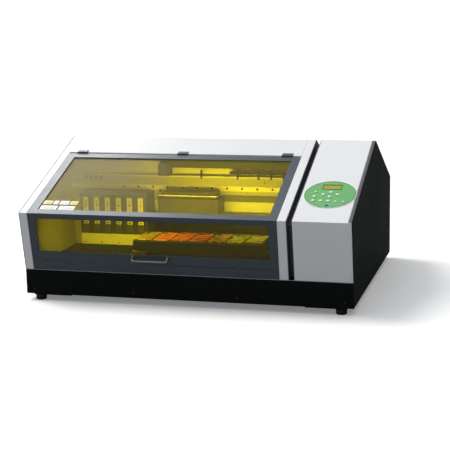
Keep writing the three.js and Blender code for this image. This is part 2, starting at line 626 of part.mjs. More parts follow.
add('cartridge_bay', cartridgeBay(), GREY);

function cartridge(i) {
  const x = cartridgeMiddle(i);
  const half = CARTRIDGE_WIDTH / 2;
  const body = block(
    [x - half, bayFront, cartridgeLow], [x + half, bayFront + CARTRIDGE_DEPTH, cartridgeLow + CARTRIDGE_HEIGHT]);
  const grip = block([x - 4, bayFront - 7, cartridgeLow + 4], [x + 4, bayFront + 1, cartridgeLow + 16]);
  return join(body, grip);
}
const inkColours = [0xe8e4d0, 0xb84a30, 0xe8e4d0, 0xe0c020, 0xd8d4c0, 0xe8e4d0];
inkColours.forEach((colour, i) => add(`ink_cartridge_${i + 1}`, cartridge(i), [colour, 0.5, 0.0]));

// ---------------------------------------------------------------- carriage
const carriageFront = fromFront(CARRIAGE_FRONT);
const carriageBack = railBack - FIT;
const headWall = 3;

// Hood open underneath, with a shoe at the back that wraps the guide rail.
function carriageHood() {
  const setback = 14;
  const lower = block(
    [carriageLeft, carriageFront, hoodLow], [carriageRight, railFront - FIT, hoodLedge]);
  const upper = block(
    [carriageLeft + setback, carriageFront + setback, hoodLedge - 1],
    [carriageRight - setback, railFront - FIT, hoodTop]);
  const hollow = block(
    [carriageLeft + headWall, carriageFront + headWall, hoodLow - 1],
    [carriageRight - headWall, railFront - FIT - headWall, hoodLedge - headWall]);
  const shoe = block(
    [carriageLeft + 40, railFront - FIT - headWall, railLow - 14],
    [carriageRight - 40, carriageBack, railTop + 12]);
  const railWay = block(
    [carriageLeft - 5, railFront - FIT, railLow - FIT], [carriageRight + 5, railBack + 5, railTop + FIT]);
  return cut(join(cut(join(lower, upper), hollow), shoe), railWay);
}
add('carriage_hood', carriageHood(), GREY);

const headTop = hoodLedge - headWall - SEAM;
const headBack = railFront - FIT - headWall - SEAM;
add('print_head', join(
  block([carriageLeft + 22, carriageFront + 12, headLow], [carriageLeft + 140, headBack - 8, headLow + 24]),
  block([carriageLeft + 50, carriageFront + 24, headLow + 20], [carriageLeft + 110, headBack - 20, headTop])),
BLACK);
add('uv_lamp', cut(
  block([carriageLeft + 158, carriageFront + 8, headLow + 2], [carriageRight - 12, headBack - 4, headTop]),
  block([carriageLeft + 166, carriageFront + 16, headLow], [carriageRight - 20, headBack - 12, headLow + 8])),
[0x3a3d44, 0.5, 0.5]);

// Wiping and capping station where the carriage parks, inside the tower.
add('cleaning_station', join(
  block([towerLeft + 30, carriageFront, deckTop + SEAM], [towerLeft + 165, railFront, headLow - 33]),
  block([towerLeft + 50, carriageFront + 14, headLow - 38], [towerLeft + 140, railFront - 10, headLow - 12])), BLACK);

// ---------------------------------------------------------------- table
const tableX = fromLeft(TABLE_MIDDLE);
const tableFront = fromFront(TABLE_FRONT);
const yRailTop = deckTop + SEAM + Y_RAIL_HEIGHT;
const railX = [-1, 1].map((side) => tableX + side * Y_RAIL_SPACING / 2);
const yRailStart = fromFront(TABLE_FRONT - TABLE_FORWARD + 20);
const yRailEnd = fromFront(TABLE_FRONT + TABLE_BACKWARD + TABLE_DEPTH + 5);
railX.forEach((x, i) => add(`table_rail_${['left', 'right'][i]}`, block(
  [x - Y_RAIL_WIDTH / 2, yRailStart, deckTop + SEAM], [x + Y_RAIL_WIDTH / 2, yRailEnd, yRailTop]), STEEL));

const posts = [-1, 1].flatMap((side) => [0, 1].map((row) => [
  tableX + side * POST_SPACING_X / 2, tableFront + POST_FROM_FRONT + row * POST_SPACING_Y]));
const saddleLow = yRailTop + FIT;
const saddleTop = saddleLow + 4;

// Saddle: plate with four shoes astride the rails and four posts that guide the table.
function tableSaddle() {
  const plate = block(
    [tableX - POST_SPACING_X / 2 - 20, tableFront + 10, saddleLow],
    [tableX + POST_SPACING_X / 2 + 20, tableFront + TABLE_DEPTH - 40, saddleTop]);
  const shoes = railX.flatMap((x) => [tableFront + 20, tableFront + TABLE_DEPTH - 110].map((y) =>
    block([x - Y_RAIL_WIDTH / 2 - 10, y, deckTop + 1], [x + Y_RAIL_WIDTH / 2 + 10, y + 60, saddleLow + 1])));
  const ways = railX.map((x) => block(
    [x - Y_RAIL_WIDTH / 2 - FIT, tableFront, deckTop - 1],
    [x + Y_RAIL_WIDTH / 2 + FIT, tableFront + TABLE_DEPTH, saddleLow]));
  const guides = posts.map(([x, y]) => bar([x, y, saddleTop - 2], [x, y, postTop], POST_RADIUS, 20));
  return join(cut(join(plate, ...shoes), ...ways), ...guides);
}
add('table_saddle', tableSaddle(), GREY);

function tablePlate() {
  const plate = block(
    [tableLeft, tableFront, tableLow], [tableRight, tableFront + TABLE_DEPTH, tableTop]);
  const bracket = block(
    [tableLeft - 56, tableFront + 40, tableLow - 4], [tableLeft + 1, tableFront + 130, tableLow + 10]);
  const sleeves = posts.map(([x, y]) => bar([x, y, saddleTop + 1.5], [x, y, tableLow + 1], POST_RADIUS + 6, 20));
  const bores = posts.map(([x, y]) => bar([x, y, saddleTop], [x, y, tableTop + 1], POST_RADIUS + FIT, 20));
  return cut(join(plate, bracket, ...sleeves), ...bores);
}
add('table_plate', tablePlate(), STEEL);

// Jig tray: shallow box open underneath, with a raised blank in each place.
function jigTray() {
  const left = fromLeft(JIG_LEFT);
  const right = left + JIG_WIDTH;
  const front = tableFront + 8;
  const back = front + JIG_DEPTH;
  const outer = block([left, front, jigLow], [right, back, jigTop]);
  const hollow = block(
    [left + JIG_WALL, front + JIG_WALL, jigLow - 1],
    [right - JIG_WALL, back - JIG_WALL, jigTop - JIG_TOP_THICKNESS]);
  const margin = (JIG_WIDTH - (BLANKS - 1) * BLANK_PITCH - BLANK_WIDTH) / 2;
  const blanks = Array.from({ length: BLANKS }, (_, i) => {
    const x = left + margin + i * BLANK_PITCH;
    const y = front + (JIG_DEPTH - BLANK_DEPTH) / 2;
    return block([x, y, jigTop - 1], [x + BLANK_WIDTH, y + BLANK_DEPTH, jigTop + BLANK_HEIGHT]);
  });
  return join(cut(outer, hollow), ...blanks);
}
add('jig_tray', jigTray(), [0x23262a, 0.5, 0.2]);

export default model;
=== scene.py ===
# %% [markdown]
# # A flatbed UV printer, finished in Blender
# The engineering model is loaded as a fixed frame. Sheet-metal parts become softened copies of
# themselves, small parts are modelled afresh at the places the frame gives, and every surface gets a
# procedural material. Everything is in metres, with the floor at zero height.

# %% Load the frame
import json
import math

import bmesh
import bpy
from mathutils import Matrix, Vector


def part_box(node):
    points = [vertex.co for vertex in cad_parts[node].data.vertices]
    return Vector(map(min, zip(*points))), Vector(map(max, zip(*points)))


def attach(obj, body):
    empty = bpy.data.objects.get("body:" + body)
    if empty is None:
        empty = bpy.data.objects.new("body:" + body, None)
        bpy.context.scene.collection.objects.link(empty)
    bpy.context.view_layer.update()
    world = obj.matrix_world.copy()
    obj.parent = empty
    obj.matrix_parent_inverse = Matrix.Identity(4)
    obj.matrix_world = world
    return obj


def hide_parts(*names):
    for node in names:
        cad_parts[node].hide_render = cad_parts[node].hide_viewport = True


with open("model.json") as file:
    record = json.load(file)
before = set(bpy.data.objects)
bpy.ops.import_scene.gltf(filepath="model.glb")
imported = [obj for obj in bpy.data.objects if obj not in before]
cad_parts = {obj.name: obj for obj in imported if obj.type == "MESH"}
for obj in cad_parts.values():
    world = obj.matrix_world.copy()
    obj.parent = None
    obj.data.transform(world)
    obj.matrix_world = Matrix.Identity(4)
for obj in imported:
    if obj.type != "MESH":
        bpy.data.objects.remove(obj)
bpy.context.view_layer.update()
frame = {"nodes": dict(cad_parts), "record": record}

# %% [markdown]
# ## Reading the body's side view
# The body is a wedge: a leaning face, a long slope up to a ridge and a shorter slope down. Three corners
# of the side panel's outline give both planes, so a piece is made flat and then laid on the slope or the
# face with one matrix.

# %% Planes of the slope and the face
MM = 0.001
FRONT_WEIGHT = 0.2  # how much being in front counts against being low


def outline_of(node):
    """Corners of a flat side panel, as (y, z), lowest front first and then over the top."""
    corners = {(round(v.co.y, 5), round(v.co.z, 5)) for v in frame["nodes"][node].data.vertices}
    middle = sum((Vector(c) for c in corners), Vector((0, 0))) / len(corners)
    ring = sorted(corners, key=lambda c: -math.atan2(c[1] - middle.y, c[0] - middle.x))
    start = min(range(len(ring)), key=lambda i: ring[i][0] * FRONT_WEIGHT + ring[i][1])
    return [Vector(ring[(start + i) % len(ring)]) for i in range(len(ring))]


sill, fold, ridge = outline_of("left_side_panel")[:3]
up_slope = Vector((0, *(ridge - fold).normalized()))
down_face = Vector((0, *(sill - fold).normalized()))
across = Vector((1, 0, 0))
slope_out = across.cross(up_slope)
face_out = down_face.cross(across)


def plane(x, along, direction, outward, lift=0.0):
    """Matrix whose X runs across the body, Y up the plane and Z out of it."""
    origin = Vector((x, *fold)) + direction * along + outward * lift
    up = outward.cross(across)
    turn = Matrix((across, up, outward)).transposed().to_4x4()
    return Matrix.Translation(origin) @ turn


def on_slope(x, along, lift=0.0):
    """A place on the slope, measured up from the fold."""
    return plane(x, along, up_slope, slope_out, lift)


def on_face(x, along, lift=0.0):
    """A place on the leaning face, measured down from the fold."""
    return plane(x, along, down_face, face_out, lift)


slope_length = (ridge - fold).length
print("slope", round(slope_length, 4), "face", round((sill - fold).length, 4))

# %% [markdown]
# ## The camera
# A long lens from the right, a little above the machine. The camera is turned, tipped and rolled in
# that order, as a tripod head would be.

# %% Camera
CAMERA_PLACE = (1.243, -4.441, 1.120)
CAMERA_TURN = math.radians(15.25)
CAMERA_TIP = math.radians(11.16)
CAMERA_ROLL = math.radians(-1.13)
CAMERA_LENS, SENSOR_WIDTH = 98, 36  # millimetres
FARTHEST_SEEN = 4000

camera_data = bpy.data.cameras.new("camera")
camera_data.lens = CAMERA_LENS
camera_data.sensor_width = SENSOR_WIDTH
camera_data.clip_end = FARTHEST_SEEN
camera = bpy.data.objects.new("camera", camera_data)
bpy.context.collection.objects.link(camera)
camera.matrix_world = (
    Matrix.Translation(CAMERA_PLACE)
    @ Matrix.Rotation(CAMERA_TURN, 4, "Z")
    @ Matrix.Rotation(math.radians(90) - CAMERA_TIP, 4, "X")
    @ Matrix.Rotation(CAMERA_ROLL, 4, "Z")
)
bpy.context.scene.camera = camera
print("camera lens", camera_data.lens)

# %% [markdown]
# ## Node trees
# Surfaces and the surround are drawn with nodes. These tools add one node at a time: each of its inputs
# is given either a value or another node's output.

# %% Tools for node trees


def feed(tree, node, inputs):
    """Sets a node's inputs, or links those whose value is a socket."""
    for name, value in inputs.items():
        if isinstance(value, bpy.types.NodeSocket):
            tree.links.new(value, node.inputs[name])
        else:
            node.inputs[name].default_value = value


def add(tree, kind, inputs, output, **settings):
    """Adds a node and gives back one of its outputs."""
    node = tree.nodes.new("ShaderNode" + kind)
    for key, value in settings.items():
        setattr(node, key, value)
    feed(tree, node, inputs)
    return node.outputs[output]


def noise_in(tree, vector, scale, detail):
    return add(tree, "TexNoise", {"Vector": vector, "Scale": scale, "Detail": detail}, "Fac")


def spread_in(tree, value, low, high):
    """Maps the middle half of a 0 to 1 pattern onto a range."""
    return add(tree, "MapRange", {"From Min": 0.25, "From Max": 0.75, "Value": value, "To Min": low,
                                  "To Max": high}, "Result")


def maths_in(tree, operation, first, second):
    return add(tree, "Math", {0: first, 1: second}, "Value", operation=operation)


def tinted_in(tree, colour, strength):
    """A colour multiplied by a value pattern."""
    return add(tree, "Mix", {"Factor": 1, "A": colour, "B": strength}, "Result", data_type="RGBA",
               blend_type="MULTIPLY")


print("node tools ready")

# %% [markdown]
# ## The floor
# The floor runs on to the horizon. It is paler for the camera than for the light that falls on it, so it
# looks white and still leaves the lower parts of the machine dark.

# %% Floor
FLOOR_SIZE = 3000
FLOOR_TONE, FLOOR_TONE_SEEN = (0.36, 0.37, 0.39, 1), (0.94, 0.945, 0.955, 1)
FLOOR_GLOW_TONE, FLOOR_GLOW_SEEN = (0.97, 0.985, 1, 1), 0.20


def drawn(primitive, **settings):
    """Draws a primitive with nothing else selected."""
    bpy.ops.object.select_all(action="DESELECT")
    primitive(**settings)
    return bpy.context.active_object


floor = drawn(bpy.ops.mesh.primitive_plane_add, size=FLOOR_SIZE)
floor.name = "studio_floor"
floor_paint = bpy.data.materials.new("studio_floor_paint")
floor_paint.use_nodes = True
floor_tree = floor_paint.node_tree
seen = add(floor_tree, "LightPath", {}, "Is Camera Ray")
floor_colour = add(floor_tree, "Mix", {"A": FLOOR_TONE, "B": FLOOR_TONE_SEEN, "Factor": seen}, "Result",
                   data_type="RGBA")
feed(floor_tree, floor_tree.nodes["Principled BSDF"], {
    "Roughness": 0.8, "Specular IOR Level": 0.15, "Base Color": floor_colour,
    "Emission Color": FLOOR_GLOW_TONE,
    "Emission Strength": maths_in(floor_tree, "MULTIPLY", seen, FLOOR_GLOW_SEEN)})
floor.data.materials.append(floor_paint)
print("floor", FLOOR_SIZE)

# %% [markdown]
# ## The surround
# Light comes from all round, most of it from above and the left and least from low on the right. The
# camera itself sees plain white.

# %% Surround
SKY_BRIGHT_SIDE = (-0.52, 0.22, 0.82)
SKY_FADE_START = -0.35
SKY_WEAKEST, SKY_STRONGEST, SKY_SEEN = 0.13, 0.70, 1.0

world = bpy.data.worlds.new("studio_surround")
world.use_nodes = True
sky = world.node_tree
direction = add(sky, "TexCoord", {}, "Generated")
facing = add(sky, "VectorMath", {0: direction, 1: SKY_BRIGHT_SIDE}, "Value", operation="DOT_PRODUCT")
fade = add(sky, "MapRange", {"From Min": SKY_FADE_START, "To Min": SKY_WEAKEST, "To Max": SKY_STRONGEST,
                             "Value": facing}, "Result")
sky_seen = add(sky, "LightPath", {}, "Is Camera Ray")
strength = add(sky, "Mix", {"Factor": sky_seen, "A": fade, "B": SKY_SEEN}, "Result")
feed(sky, sky.nodes["Background"], {"Strength": strength, "Color": (1, 1, 1, 1)})
bpy.context.scene.world = world
bpy.context.scene.view_settings.view_transform = "Standard"
print("surround", world.name)

# %% [markdown]
# ## Lights
# A panel overhead and a wide sun from the upper left light the slopes more than the face. Two slim lamps
# inside lift the chamber and the deck. The haze panel lights nothing and shows only as a reflection.

# %% Lights
SUN_POWER, SUN_WIDTH, SUN_DIRECTION = 1.8, math.radians(26), (-0.56, 0.10, 0.82)
LAMP_SPREAD = math.radians(90)


def soft_light(name, place, target, size, power):
    """A rectangular lamp at a place, turned to a target and hidden from the camera."""
    lamp = bpy.data.lights.new(name, "AREA")
    lamp.shape = "RECTANGLE"
    lamp.size, lamp.size_y = size
    lamp.energy = power
    holder = bpy.data.objects.new(name, lamp)
    bpy.context.collection.objects.link(holder)
    holder.location = place
    holder.rotation_euler = (Vector(target) - Vector(place)).to_track_quat("-Z", "Y").to_euler()
    holder.visible_camera = False
    return holder


soft_light("overhead_panel", (-0.4, -0.2, 3.2), (0, 0, 0.3), (2.6, 2.6), 14)
for lamp in (soft_light("chamber_lamp", (0.06, -0.385, 0.315), (0.08, 0.0, 0.335), (0.5, 0.03), 1.05),
             soft_light("deck_lamp", (-0.25, -0.405, 0.30), (-0.30, -0.1, 0.13), (0.50, 0.03), 0.45)):
    lamp.visible_glossy = False
    lamp.data.spread = LAMP_SPREAD
haze = soft_light("haze_panel", (-1.58, 1.46, 2.04), (-0.5, -0.1, 0.476), (1.1, 0.9), 36)
haze.visible_diffuse = False

sun = bpy.data.lights.new("key_sun", "SUN")
sun.energy = SUN_POWER
sun.angle = SUN_WIDTH
key = bpy.data.objects.new("key_sun", sun)
bpy.context.collection.objects.link(key)
key.rotation_euler = Vector(SUN_DIRECTION).to_track_quat("Z", "Y").to_euler()

# %% [markdown]
# ## Sprayed and brushed surfaces
# Sprayed paint has a fine orange peel and slow changes of tone; machined metal has fine parallel lines.
# Each effect is a node group: two patterns darken its colour and the first also shifts its gloss.

# %% Sprayed grain and brushed lines
SURFACE_OUTPUTS = {"Color": "NodeSocketColor", "Roughness": "NodeSocketFloat", "Height": "NodeSocketFloat"}
SURFACE_INPUTS = [
    ("Vector", "NodeSocketVector", None),
    ("Color", "NodeSocketColor", (0.8, 0.8, 0.8, 1)),
    ("Roughness", "NodeSocketFloat", 0.5),
    ("Grain size", "NodeSocketFloat", 900.0),
    ("Variation", "NodeSocketFloat", 0.05),
]
MOTTLE_SCALE, DUST_SCALE, STAIN_SCALE = 7.0, 60.0, 12.0
DUST_DARKEST, STAIN_DARKEST = 0.985, 0.93
LINE_STRETCH = (0.02, 1, 1)


def new_group(name, inputs):
    """An empty group with named sockets, the sockets it is given and its output node."""
    tree = bpy.data.node_groups.new(name, "ShaderNodeTree")
    for label, kind, value in inputs:
        socket = tree.interface.new_socket(name=label, in_out="INPUT", socket_type=kind)
        if value is not None:
            socket.default_value = value
    for label, kind in SURFACE_OUTPUTS.items():
        tree.interface.new_socket(name=label, in_out="OUTPUT", socket_type=kind)
    return tree, tree.nodes.new("NodeGroupInput").outputs, tree.nodes.new("NodeGroupOutput")


def surface(tree, given, out, main, gloss_shift, marks, marks_darkest, height):
    """Wires a main pattern, a pattern of marks and a height to the group's outputs."""
    darkest = maths_in(tree, "SUBTRACT", 1.0, given["Variation"])
    marked = spread_in(tree, marks, marks_darkest, 1.0)
    tone = maths_in(tree, "MULTIPLY", spread_in(tree, main, darkest, 1.0), marked)
    rough = maths_in(tree, "ADD", given["Roughness"], spread_in(tree, main, *gloss_shift))
    feed(tree, out, {"Color": tinted_in(tree, given["Color"], tone), "Roughness": rough, "Height": height})
    return tree


def sprayed_grain():
    """Fine peel in the height, slow mottle in the tone and the gloss, and a few specks of dust."""
    tree, given, out = new_group("sprayed_grain", SURFACE_INPUTS)
    fine = noise_in(tree, given["Vector"], given["Grain size"], 4)
    slow = noise_in(tree, given["Vector"], MOTTLE_SCALE, 5)
    dust = noise_in(tree, given["Vector"], DUST_SCALE, 8)
    return surface(tree, given, out, slow, (-0.05, 0.06), dust, DUST_DARKEST, fine)


def brushed_lines():
    """Fine lines along X: the pattern is stretched hard in that direction."""
    tree, given, out = new_group("brushed_lines", SURFACE_INPUTS)
    stretched = add(tree, "Mapping", {"Scale": LINE_STRETCH, "Vector": given["Vector"]}, "Vector")
    lines = noise_in(tree, stretched, given["Grain size"], 6)
    stains = noise_in(tree, given["Vector"], STAIN_SCALE, 4)
    return surface(tree, given, out, lines, (-0.07, 0.09), stains, STAIN_DARKEST, lines)


GROUPS = {"sprayed": sprayed_grain(), "brushed": brushed_lines()}
print("node groups", sorted(GROUPS))

# %% [markdown]
# ## Finishes
# One function wires a group into a Principled shader. The colour is the finish's own, the group adds
# its grain, and a Bump node turns the grain's height into relief of a few hundredths of a millimetre.

# %% Material maker
BUMP_STRENGTH = 0.35


def new_material(name, effect, colour, roughness, variation):
    """A material whose colour and roughness come from an effect on Object coordinates."""
    material = bpy.data.materials.new(name)
    material.use_nodes = True
    tree = material.node_tree
    shader = tree.nodes["Principled BSDF"]
    group = tree.nodes.new("ShaderNodeGroup")
    group.node_tree = GROUPS[effect]
    feed(tree, group, {"Vector": add(tree, "TexCoord", {}, "Object"), "Color": (*colour, 1),
                       "Roughness": roughness, "Variation": variation})
    feed(tree, shader, {"Base Color": group.outputs["Color"], "Roughness": group.outputs["Roughness"]})
    return material, tree, shader, group


def finish(name, colour, roughness, metallic=0.0, effect="sprayed", grain=900.0, variation=0.05,
           relief=0.03, coat=0.0, emission=0.0, gloss=0.5):
    """A finish; grain is the pattern's scale and relief its depth in millimetres."""
    material, tree, shader, group = new_material(name, effect, colour, roughness, variation)
    feed(tree, group, {"Grain size": grain})
    bump = add(tree, "Bump", {"Strength": BUMP_STRENGTH, "Distance": relief * MM,
                              "Height": group.outputs["Height"]}, "Normal")
    feed(tree, shader, {"Normal": bump, "Metallic": metallic, "Coat Weight": coat,
                        "Specular IOR Level": gloss})
    if emission:
        feed(tree, shader, {"Emission Color": group.outputs["Color"], "Emission Strength": emission})
    return material


print("bump strength", BUMP_STRENGTH)

# %% [markdown]
# ## Paints, metals and plastics
# Each finish is named for what it covers. Paint varies a little in tone, metal more, and rubber most.

# %% The machine's finishes
white_paint = finish("white_powder_coat", (0.80, 0.81, 0.83), 0.46, variation=0.035, gloss=0.2)
slate_paint = finish("slate_powder_coat", (0.042, 0.062, 0.078), 0.42, variation=0.12, relief=0.05)
black_paint = finish("black_powder_coat", (0.005, 0.007, 0.006), 0.74, variation=0.3, relief=0.05, gloss=0.1)
grey_paint = finish("grey_powder_coat", (0.30, 0.31, 0.34), 0.45, variation=0.08)
# Painted shade: this dark grey is darker than the groove's own grey paint, to show the shade in the groove,
# and it also colours the shade strips on the tower's edge and the shade plate above the beam.
painted_shade_grey = finish("grey_coat_with_painted_shade", (0.085, 0.088, 0.095), 0.5, variation=0.1)
chamber_paint = finish("chamber_paint", (0.78, 0.77, 0.72), 0.5, variation=0.08)
bay_plastic = finish("bay_plastic", (0.065, 0.062, 0.06), 0.5, variation=0.12)
hood_paint = finish("hood_paint", (0.06, 0.06, 0.06), 0.5, variation=0.08, relief=0.01)
deck_paint = finish("dark_deck_paint", (0.035, 0.036, 0.032), 0.5, variation=0.25)
rail_steel = finish("ground_steel", (0.55, 0.55, 0.56), 0.28, metallic=1.0, effect="brushed", grain=1400,
                    variation=0.25)
beam_metal = finish("anodised_beam", (0.62, 0.62, 0.60), 0.4, metallic=0.35, effect="brushed", grain=800,
                    variation=0.15)
rail_paint = finish("dull_guide_rail", (0.14, 0.14, 0.15), 0.5, effect="brushed", grain=1200, variation=0.2)
dark_anodised = finish("dark_anodised_plate", (0.02, 0.02, 0.021), 0.45, metallic=0.3, effect="brushed",
                       grain=900, variation=0.25)
table_metal = finish("table_aluminium", (0.42, 0.43, 0.43), 0.38, metallic=0.8, effect="brushed", grain=900,
                     variation=0.2)
chrome = finish("bright_chrome", (0.21, 0.22, 0.24), 0.26, metallic=1.0, effect="brushed", grain=300,
                variation=0.06, relief=0.005)
dark_steel = finish("dark_screw_steel", (0.05, 0.05, 0.05), 0.35, metallic=0.7, effect="brushed", grain=1500,
                    variation=0.3)
black_plastic = finish("black_moulding", (0.012, 0.013, 0.014), 0.45, variation=0.3, relief=0.06)
foot_rubber = finish("foot_rubber", (0.012, 0.012, 0.012), 0.8, variation=0.4, relief=0.12, grain=500)
green_film = finish("green_overlay_film", (0.13, 0.45, 0.13), 0.36, relief=0.02, grain=2500)
button_plastic = finish("white_button_plastic", (0.88, 0.9, 0.9), 0.25, variation=0.03, coat=0.3)
blue_plastic = finish("blue_button_plastic", (0.05, 0.14, 0.55), 0.25, variation=0.08, coat=0.3)
lamp_metal = finish("lamp_heatsink", (0.08, 0.085, 0.09), 0.4, metallic=0.6, effect="brushed", grain=700,
                    variation=0.25)
print("finishes", len(bpy.data.materials))

# %% [markdown]
# ## Tinted glazing
# The panes are amber acrylic that stops ultraviolet light. What is behind them keeps its detail but
# loses its blue, so a coloured Transparent shader multiplies it, and a thin share of a glossy shader
# adds the reflection of the surface.

# %% Amber acrylic
AMBER_TINT, AMBER_FILM = (0.88, 0.79, 0.11), (0.52, 0.47, 0.16)
FILM_ROUGHNESS, FILM_VARIATION, FILM_SHARE = 0.2, 0.12, 0.12


def glazing(name, tint, film):
    """A sheet that tints what is behind it, under a thin film with its own colour."""
    material, tree, shader = new_material(name, "sprayed", film, FILM_ROUGHNESS, FILM_VARIATION)[:3]
    clear = add(tree, "BsdfTransparent", {"Color": (*tint, 1)}, "BSDF")
    blend = add(tree, "MixShader", {"Fac": FILM_SHARE, 1: clear, 2: shader.outputs["BSDF"]}, "Shader")
    feed(tree, tree.nodes["Material Output"], {"Surface": blend})
    return material


amber = glazing("amber_acrylic_sheet", AMBER_TINT, AMBER_FILM)
print("glazing", amber.name)

# %% [markdown]
# ## Working tools
# Every operator acts on what is selected, so each step starts by selecting one object. Softening bevels
# the sharp edges, smooths the faces and weights the normals so that flat faces stay flat.

# %% Selection, modifiers and bevels
BEVEL_STEPS = 2
BEVEL_FROM, SMOOTH_UP_TO = math.radians(28), math.radians(40)
NORMAL_WEIGHT = 60


def pick(*objects):
    bpy.ops.object.select_all(action="DESELECT")
    for item in objects:
        item.select_set(True)
    bpy.context.view_layer.objects.active = objects[0]


def apply_modifier(piece, kind, **settings):
    pick(piece)
    modifier = piece.modifiers.new(kind.lower(), kind)
    for key, value in settings.items():
        setattr(modifier, key, value)
    bpy.ops.object.modifier_apply(modifier=modifier.name)


def soften(piece, radius):
    apply_modifier(piece, "BEVEL", width=radius, segments=BEVEL_STEPS, limit_method="ANGLE",
                   angle_limit=BEVEL_FROM, use_clamp_overlap=True)
    pick(piece)
    bpy.ops.object.shade_smooth_by_angle(angle=SMOOTH_UP_TO)
    apply_modifier(piece, "WEIGHTED_NORMAL", weight=NORMAL_WEIGHT, keep_sharp=True)


def settle(piece, place=None):
    """Puts a piece where it belongs and writes that place into its mesh."""
    if place is not None:
        piece.matrix_world = place @ piece.matrix_world
    pick(piece)
    bpy.ops.object.transform_apply(location=True, rotation=True, scale=True)


def edit_all(piece):
    """Starts editing a piece with everything selected."""
    pick(piece)
    bpy.ops.object.mode_set(mode="EDIT")
    bpy.ops.mesh.select_all(action="SELECT")


def face_outward():
    """Turns every face outward and stops editing."""
    bpy.ops.mesh.select_all(action="SELECT")
    bpy.ops.mesh.normals_make_consistent(inside=False)
    bpy.ops.object.mode_set(mode="OBJECT")


print("bevel from", round(math.degrees(BEVEL_FROM)), "degrees")

# %% [markdown]
# ## Naming pieces and copying frame nodes
# Each piece gets its name, its finish and the body it rides on. A copy of a frame node has its loose
# triangles merged and the flat ones dissolved before its edges are bevelled.

# %% Registered pieces and softened copies
SAME_POINT, SAME_PLANE = 0.02 * MM, math.radians(1.5)
BODY_OF = {node: body for body, nodes in frame["record"]["behaviour"]["bodies"].items() for node in nodes}


def register(piece, name, material, body="chassis"):
    piece.name = name
    piece.data.name = name
    piece.data.materials.clear()
    piece.data.materials.append(material)
    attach(piece, body)


def stand_in(piece, name, material, node):
    """Registers a piece that stands for a frame node."""
    register(piece, name, material, BODY_OF[node])
    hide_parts(node)


def worked(node, material, radius):
    """A softened copy of a frame node, which it then stands for."""
    piece = bpy.data.objects.new(node + "_finished", frame["nodes"][node].data.copy())
    bpy.context.collection.objects.link(piece)
    edit_all(piece)
    bpy.ops.mesh.remove_doubles(threshold=SAME_POINT)
    bpy.ops.mesh.dissolve_limited(angle_limit=SAME_PLANE)
    bpy.ops.object.mode_set(mode="OBJECT")
    soften(piece, radius)
    stand_in(piece, node + "_finished", material, node)


# %% [markdown]
# ## Sheet metal, castings and inner parts
# These keep the frame's shape exactly. Only the edge radius and the finish differ, so one table names
# both: a folded panel has a tight radius and a machined block a wider one.

# %% Finished copies of the frame's parts
PARTS = {
    "base_tray": (black_paint, 0.0012), "left_side_panel": (black_paint, 0.0008),
    "right_side_panel": (black_paint, 0.0008), "left_cheek": (white_paint, 0.0007),
    "right_cheek": (white_paint, 0.0007), "top_cover": (white_paint, 0.0007),
    "rear_cover": (white_paint, 0.0007), "rear_panel": (white_paint, 0.0005),
    # The groove liner's dark grey is partly its own grey paint and partly painted shade.
    "tower_cover": (white_paint, 0.0007), "groove_liner": (painted_shade_grey, 0.0006),
    "front_lower_panel": (slate_paint, 0.0007), "cover_frame": (slate_paint, 0.0018),
    "upper_pane": (amber, 0.0008), "lower_pane": (amber, 0.0008), "bed_deck": (deck_paint, 0.0008),
    "chamber_liner": (chamber_paint, 0.0006), "cartridge_bay": (bay_plastic, 0.0012),
    "gantry_beam": (beam_metal, 0.0010), "guide_rail": (rail_paint, 0.0012),
    "carriage_hood": (hood_paint, 0.0016), "print_head": (black_plastic, 0.0015),
    "uv_lamp": (lamp_metal, 0.0012), "cleaning_station": (black_plastic, 0.0025),
    "table_rail_left": (rail_steel, 0.0010), "table_rail_right": (rail_steel, 0.0010),
    "table_saddle": (grey_paint, 0.0010), "table_plate": (dark_anodised, 0.0012),
    "jig_tray": (black_plastic, 0.0015), "hinge_left": (slate_paint, 0.0006),
    "hinge_middle": (slate_paint, 0.0006), "hinge_right": (slate_paint, 0.0006),
    "control_panel": (green_film, 0.0003), "power_inlet": (black_plastic, 0.0008),
    "power_switch": (black_plastic, 0.0012), "exhaust_grille": (black_plastic, 0.0008),
}
for node, (material, radius) in PARTS.items():
    worked(node, material, radius)
print("finished copies", len(PARTS))

# %% [markdown]
# ## Blocks and recesses
# Many details are a bevelled block. It starts from a cube at its size and is settled with a matrix, so a
# piece on the slope is drawn flat first. A recess is an inset face that is pushed in.

# %% Makers for blocks
IDENTITY = Matrix.Identity(4)


def cube(size):
    """A sharp block centred on the origin."""
    piece = drawn(bpy.ops.mesh.primitive_cube_add, size=1)
    piece.scale = size
    settle(piece)
    return piece


def cube_between(low, high):
    """A sharp block between two corners."""
    piece = cube(high - low)
    settle(piece, Matrix.Translation((low + high) / 2))
    return piece


def block(size, radius, place=IDENTITY):
    """A bevelled block centred on its place."""
    piece = cube(size)
    soften(piece, radius)
    settle(piece, place)
    return piece


def between(low, high, radius):
    """A bevelled block between two corners."""
    low, high = Vector(low), Vector(high)
    return block(high - low, radius, Matrix.Translation((low + high) / 2))


def choose(piece, kind, test):
    """Selects the faces or edges that pass a test, and leaves the piece in edit mode."""
    pick(piece)
    bpy.ops.object.mode_set(mode="EDIT")
    bpy.ops.mesh.select_mode(type=kind)
    bpy.ops.mesh.select_all(action="DESELECT")
    mesh = bmesh.from_edit_mesh(piece.data)
    for item in mesh.faces if kind == "FACE" else mesh.edges:
        item.select = test(item)
    bmesh.update_edit_mesh(piece.data)


def recess(piece, test, rim, push):
    """Insets the faces that pass a test and pushes the inner ones in."""
    choose(piece, "FACE", test)
    bpy.ops.mesh.inset(thickness=rim)
    bpy.ops.transform.translate(value=push)
    bpy.ops.object.mode_set(mode="OBJECT")


def faces_up(face):
    return face.normal.z > 0.9


def faces_front(face):
    return face.normal.y < -0.9


def upright(edge):
    return abs((edge.verts[0].co - edge.verts[1].co).normalized().z) > 0.99


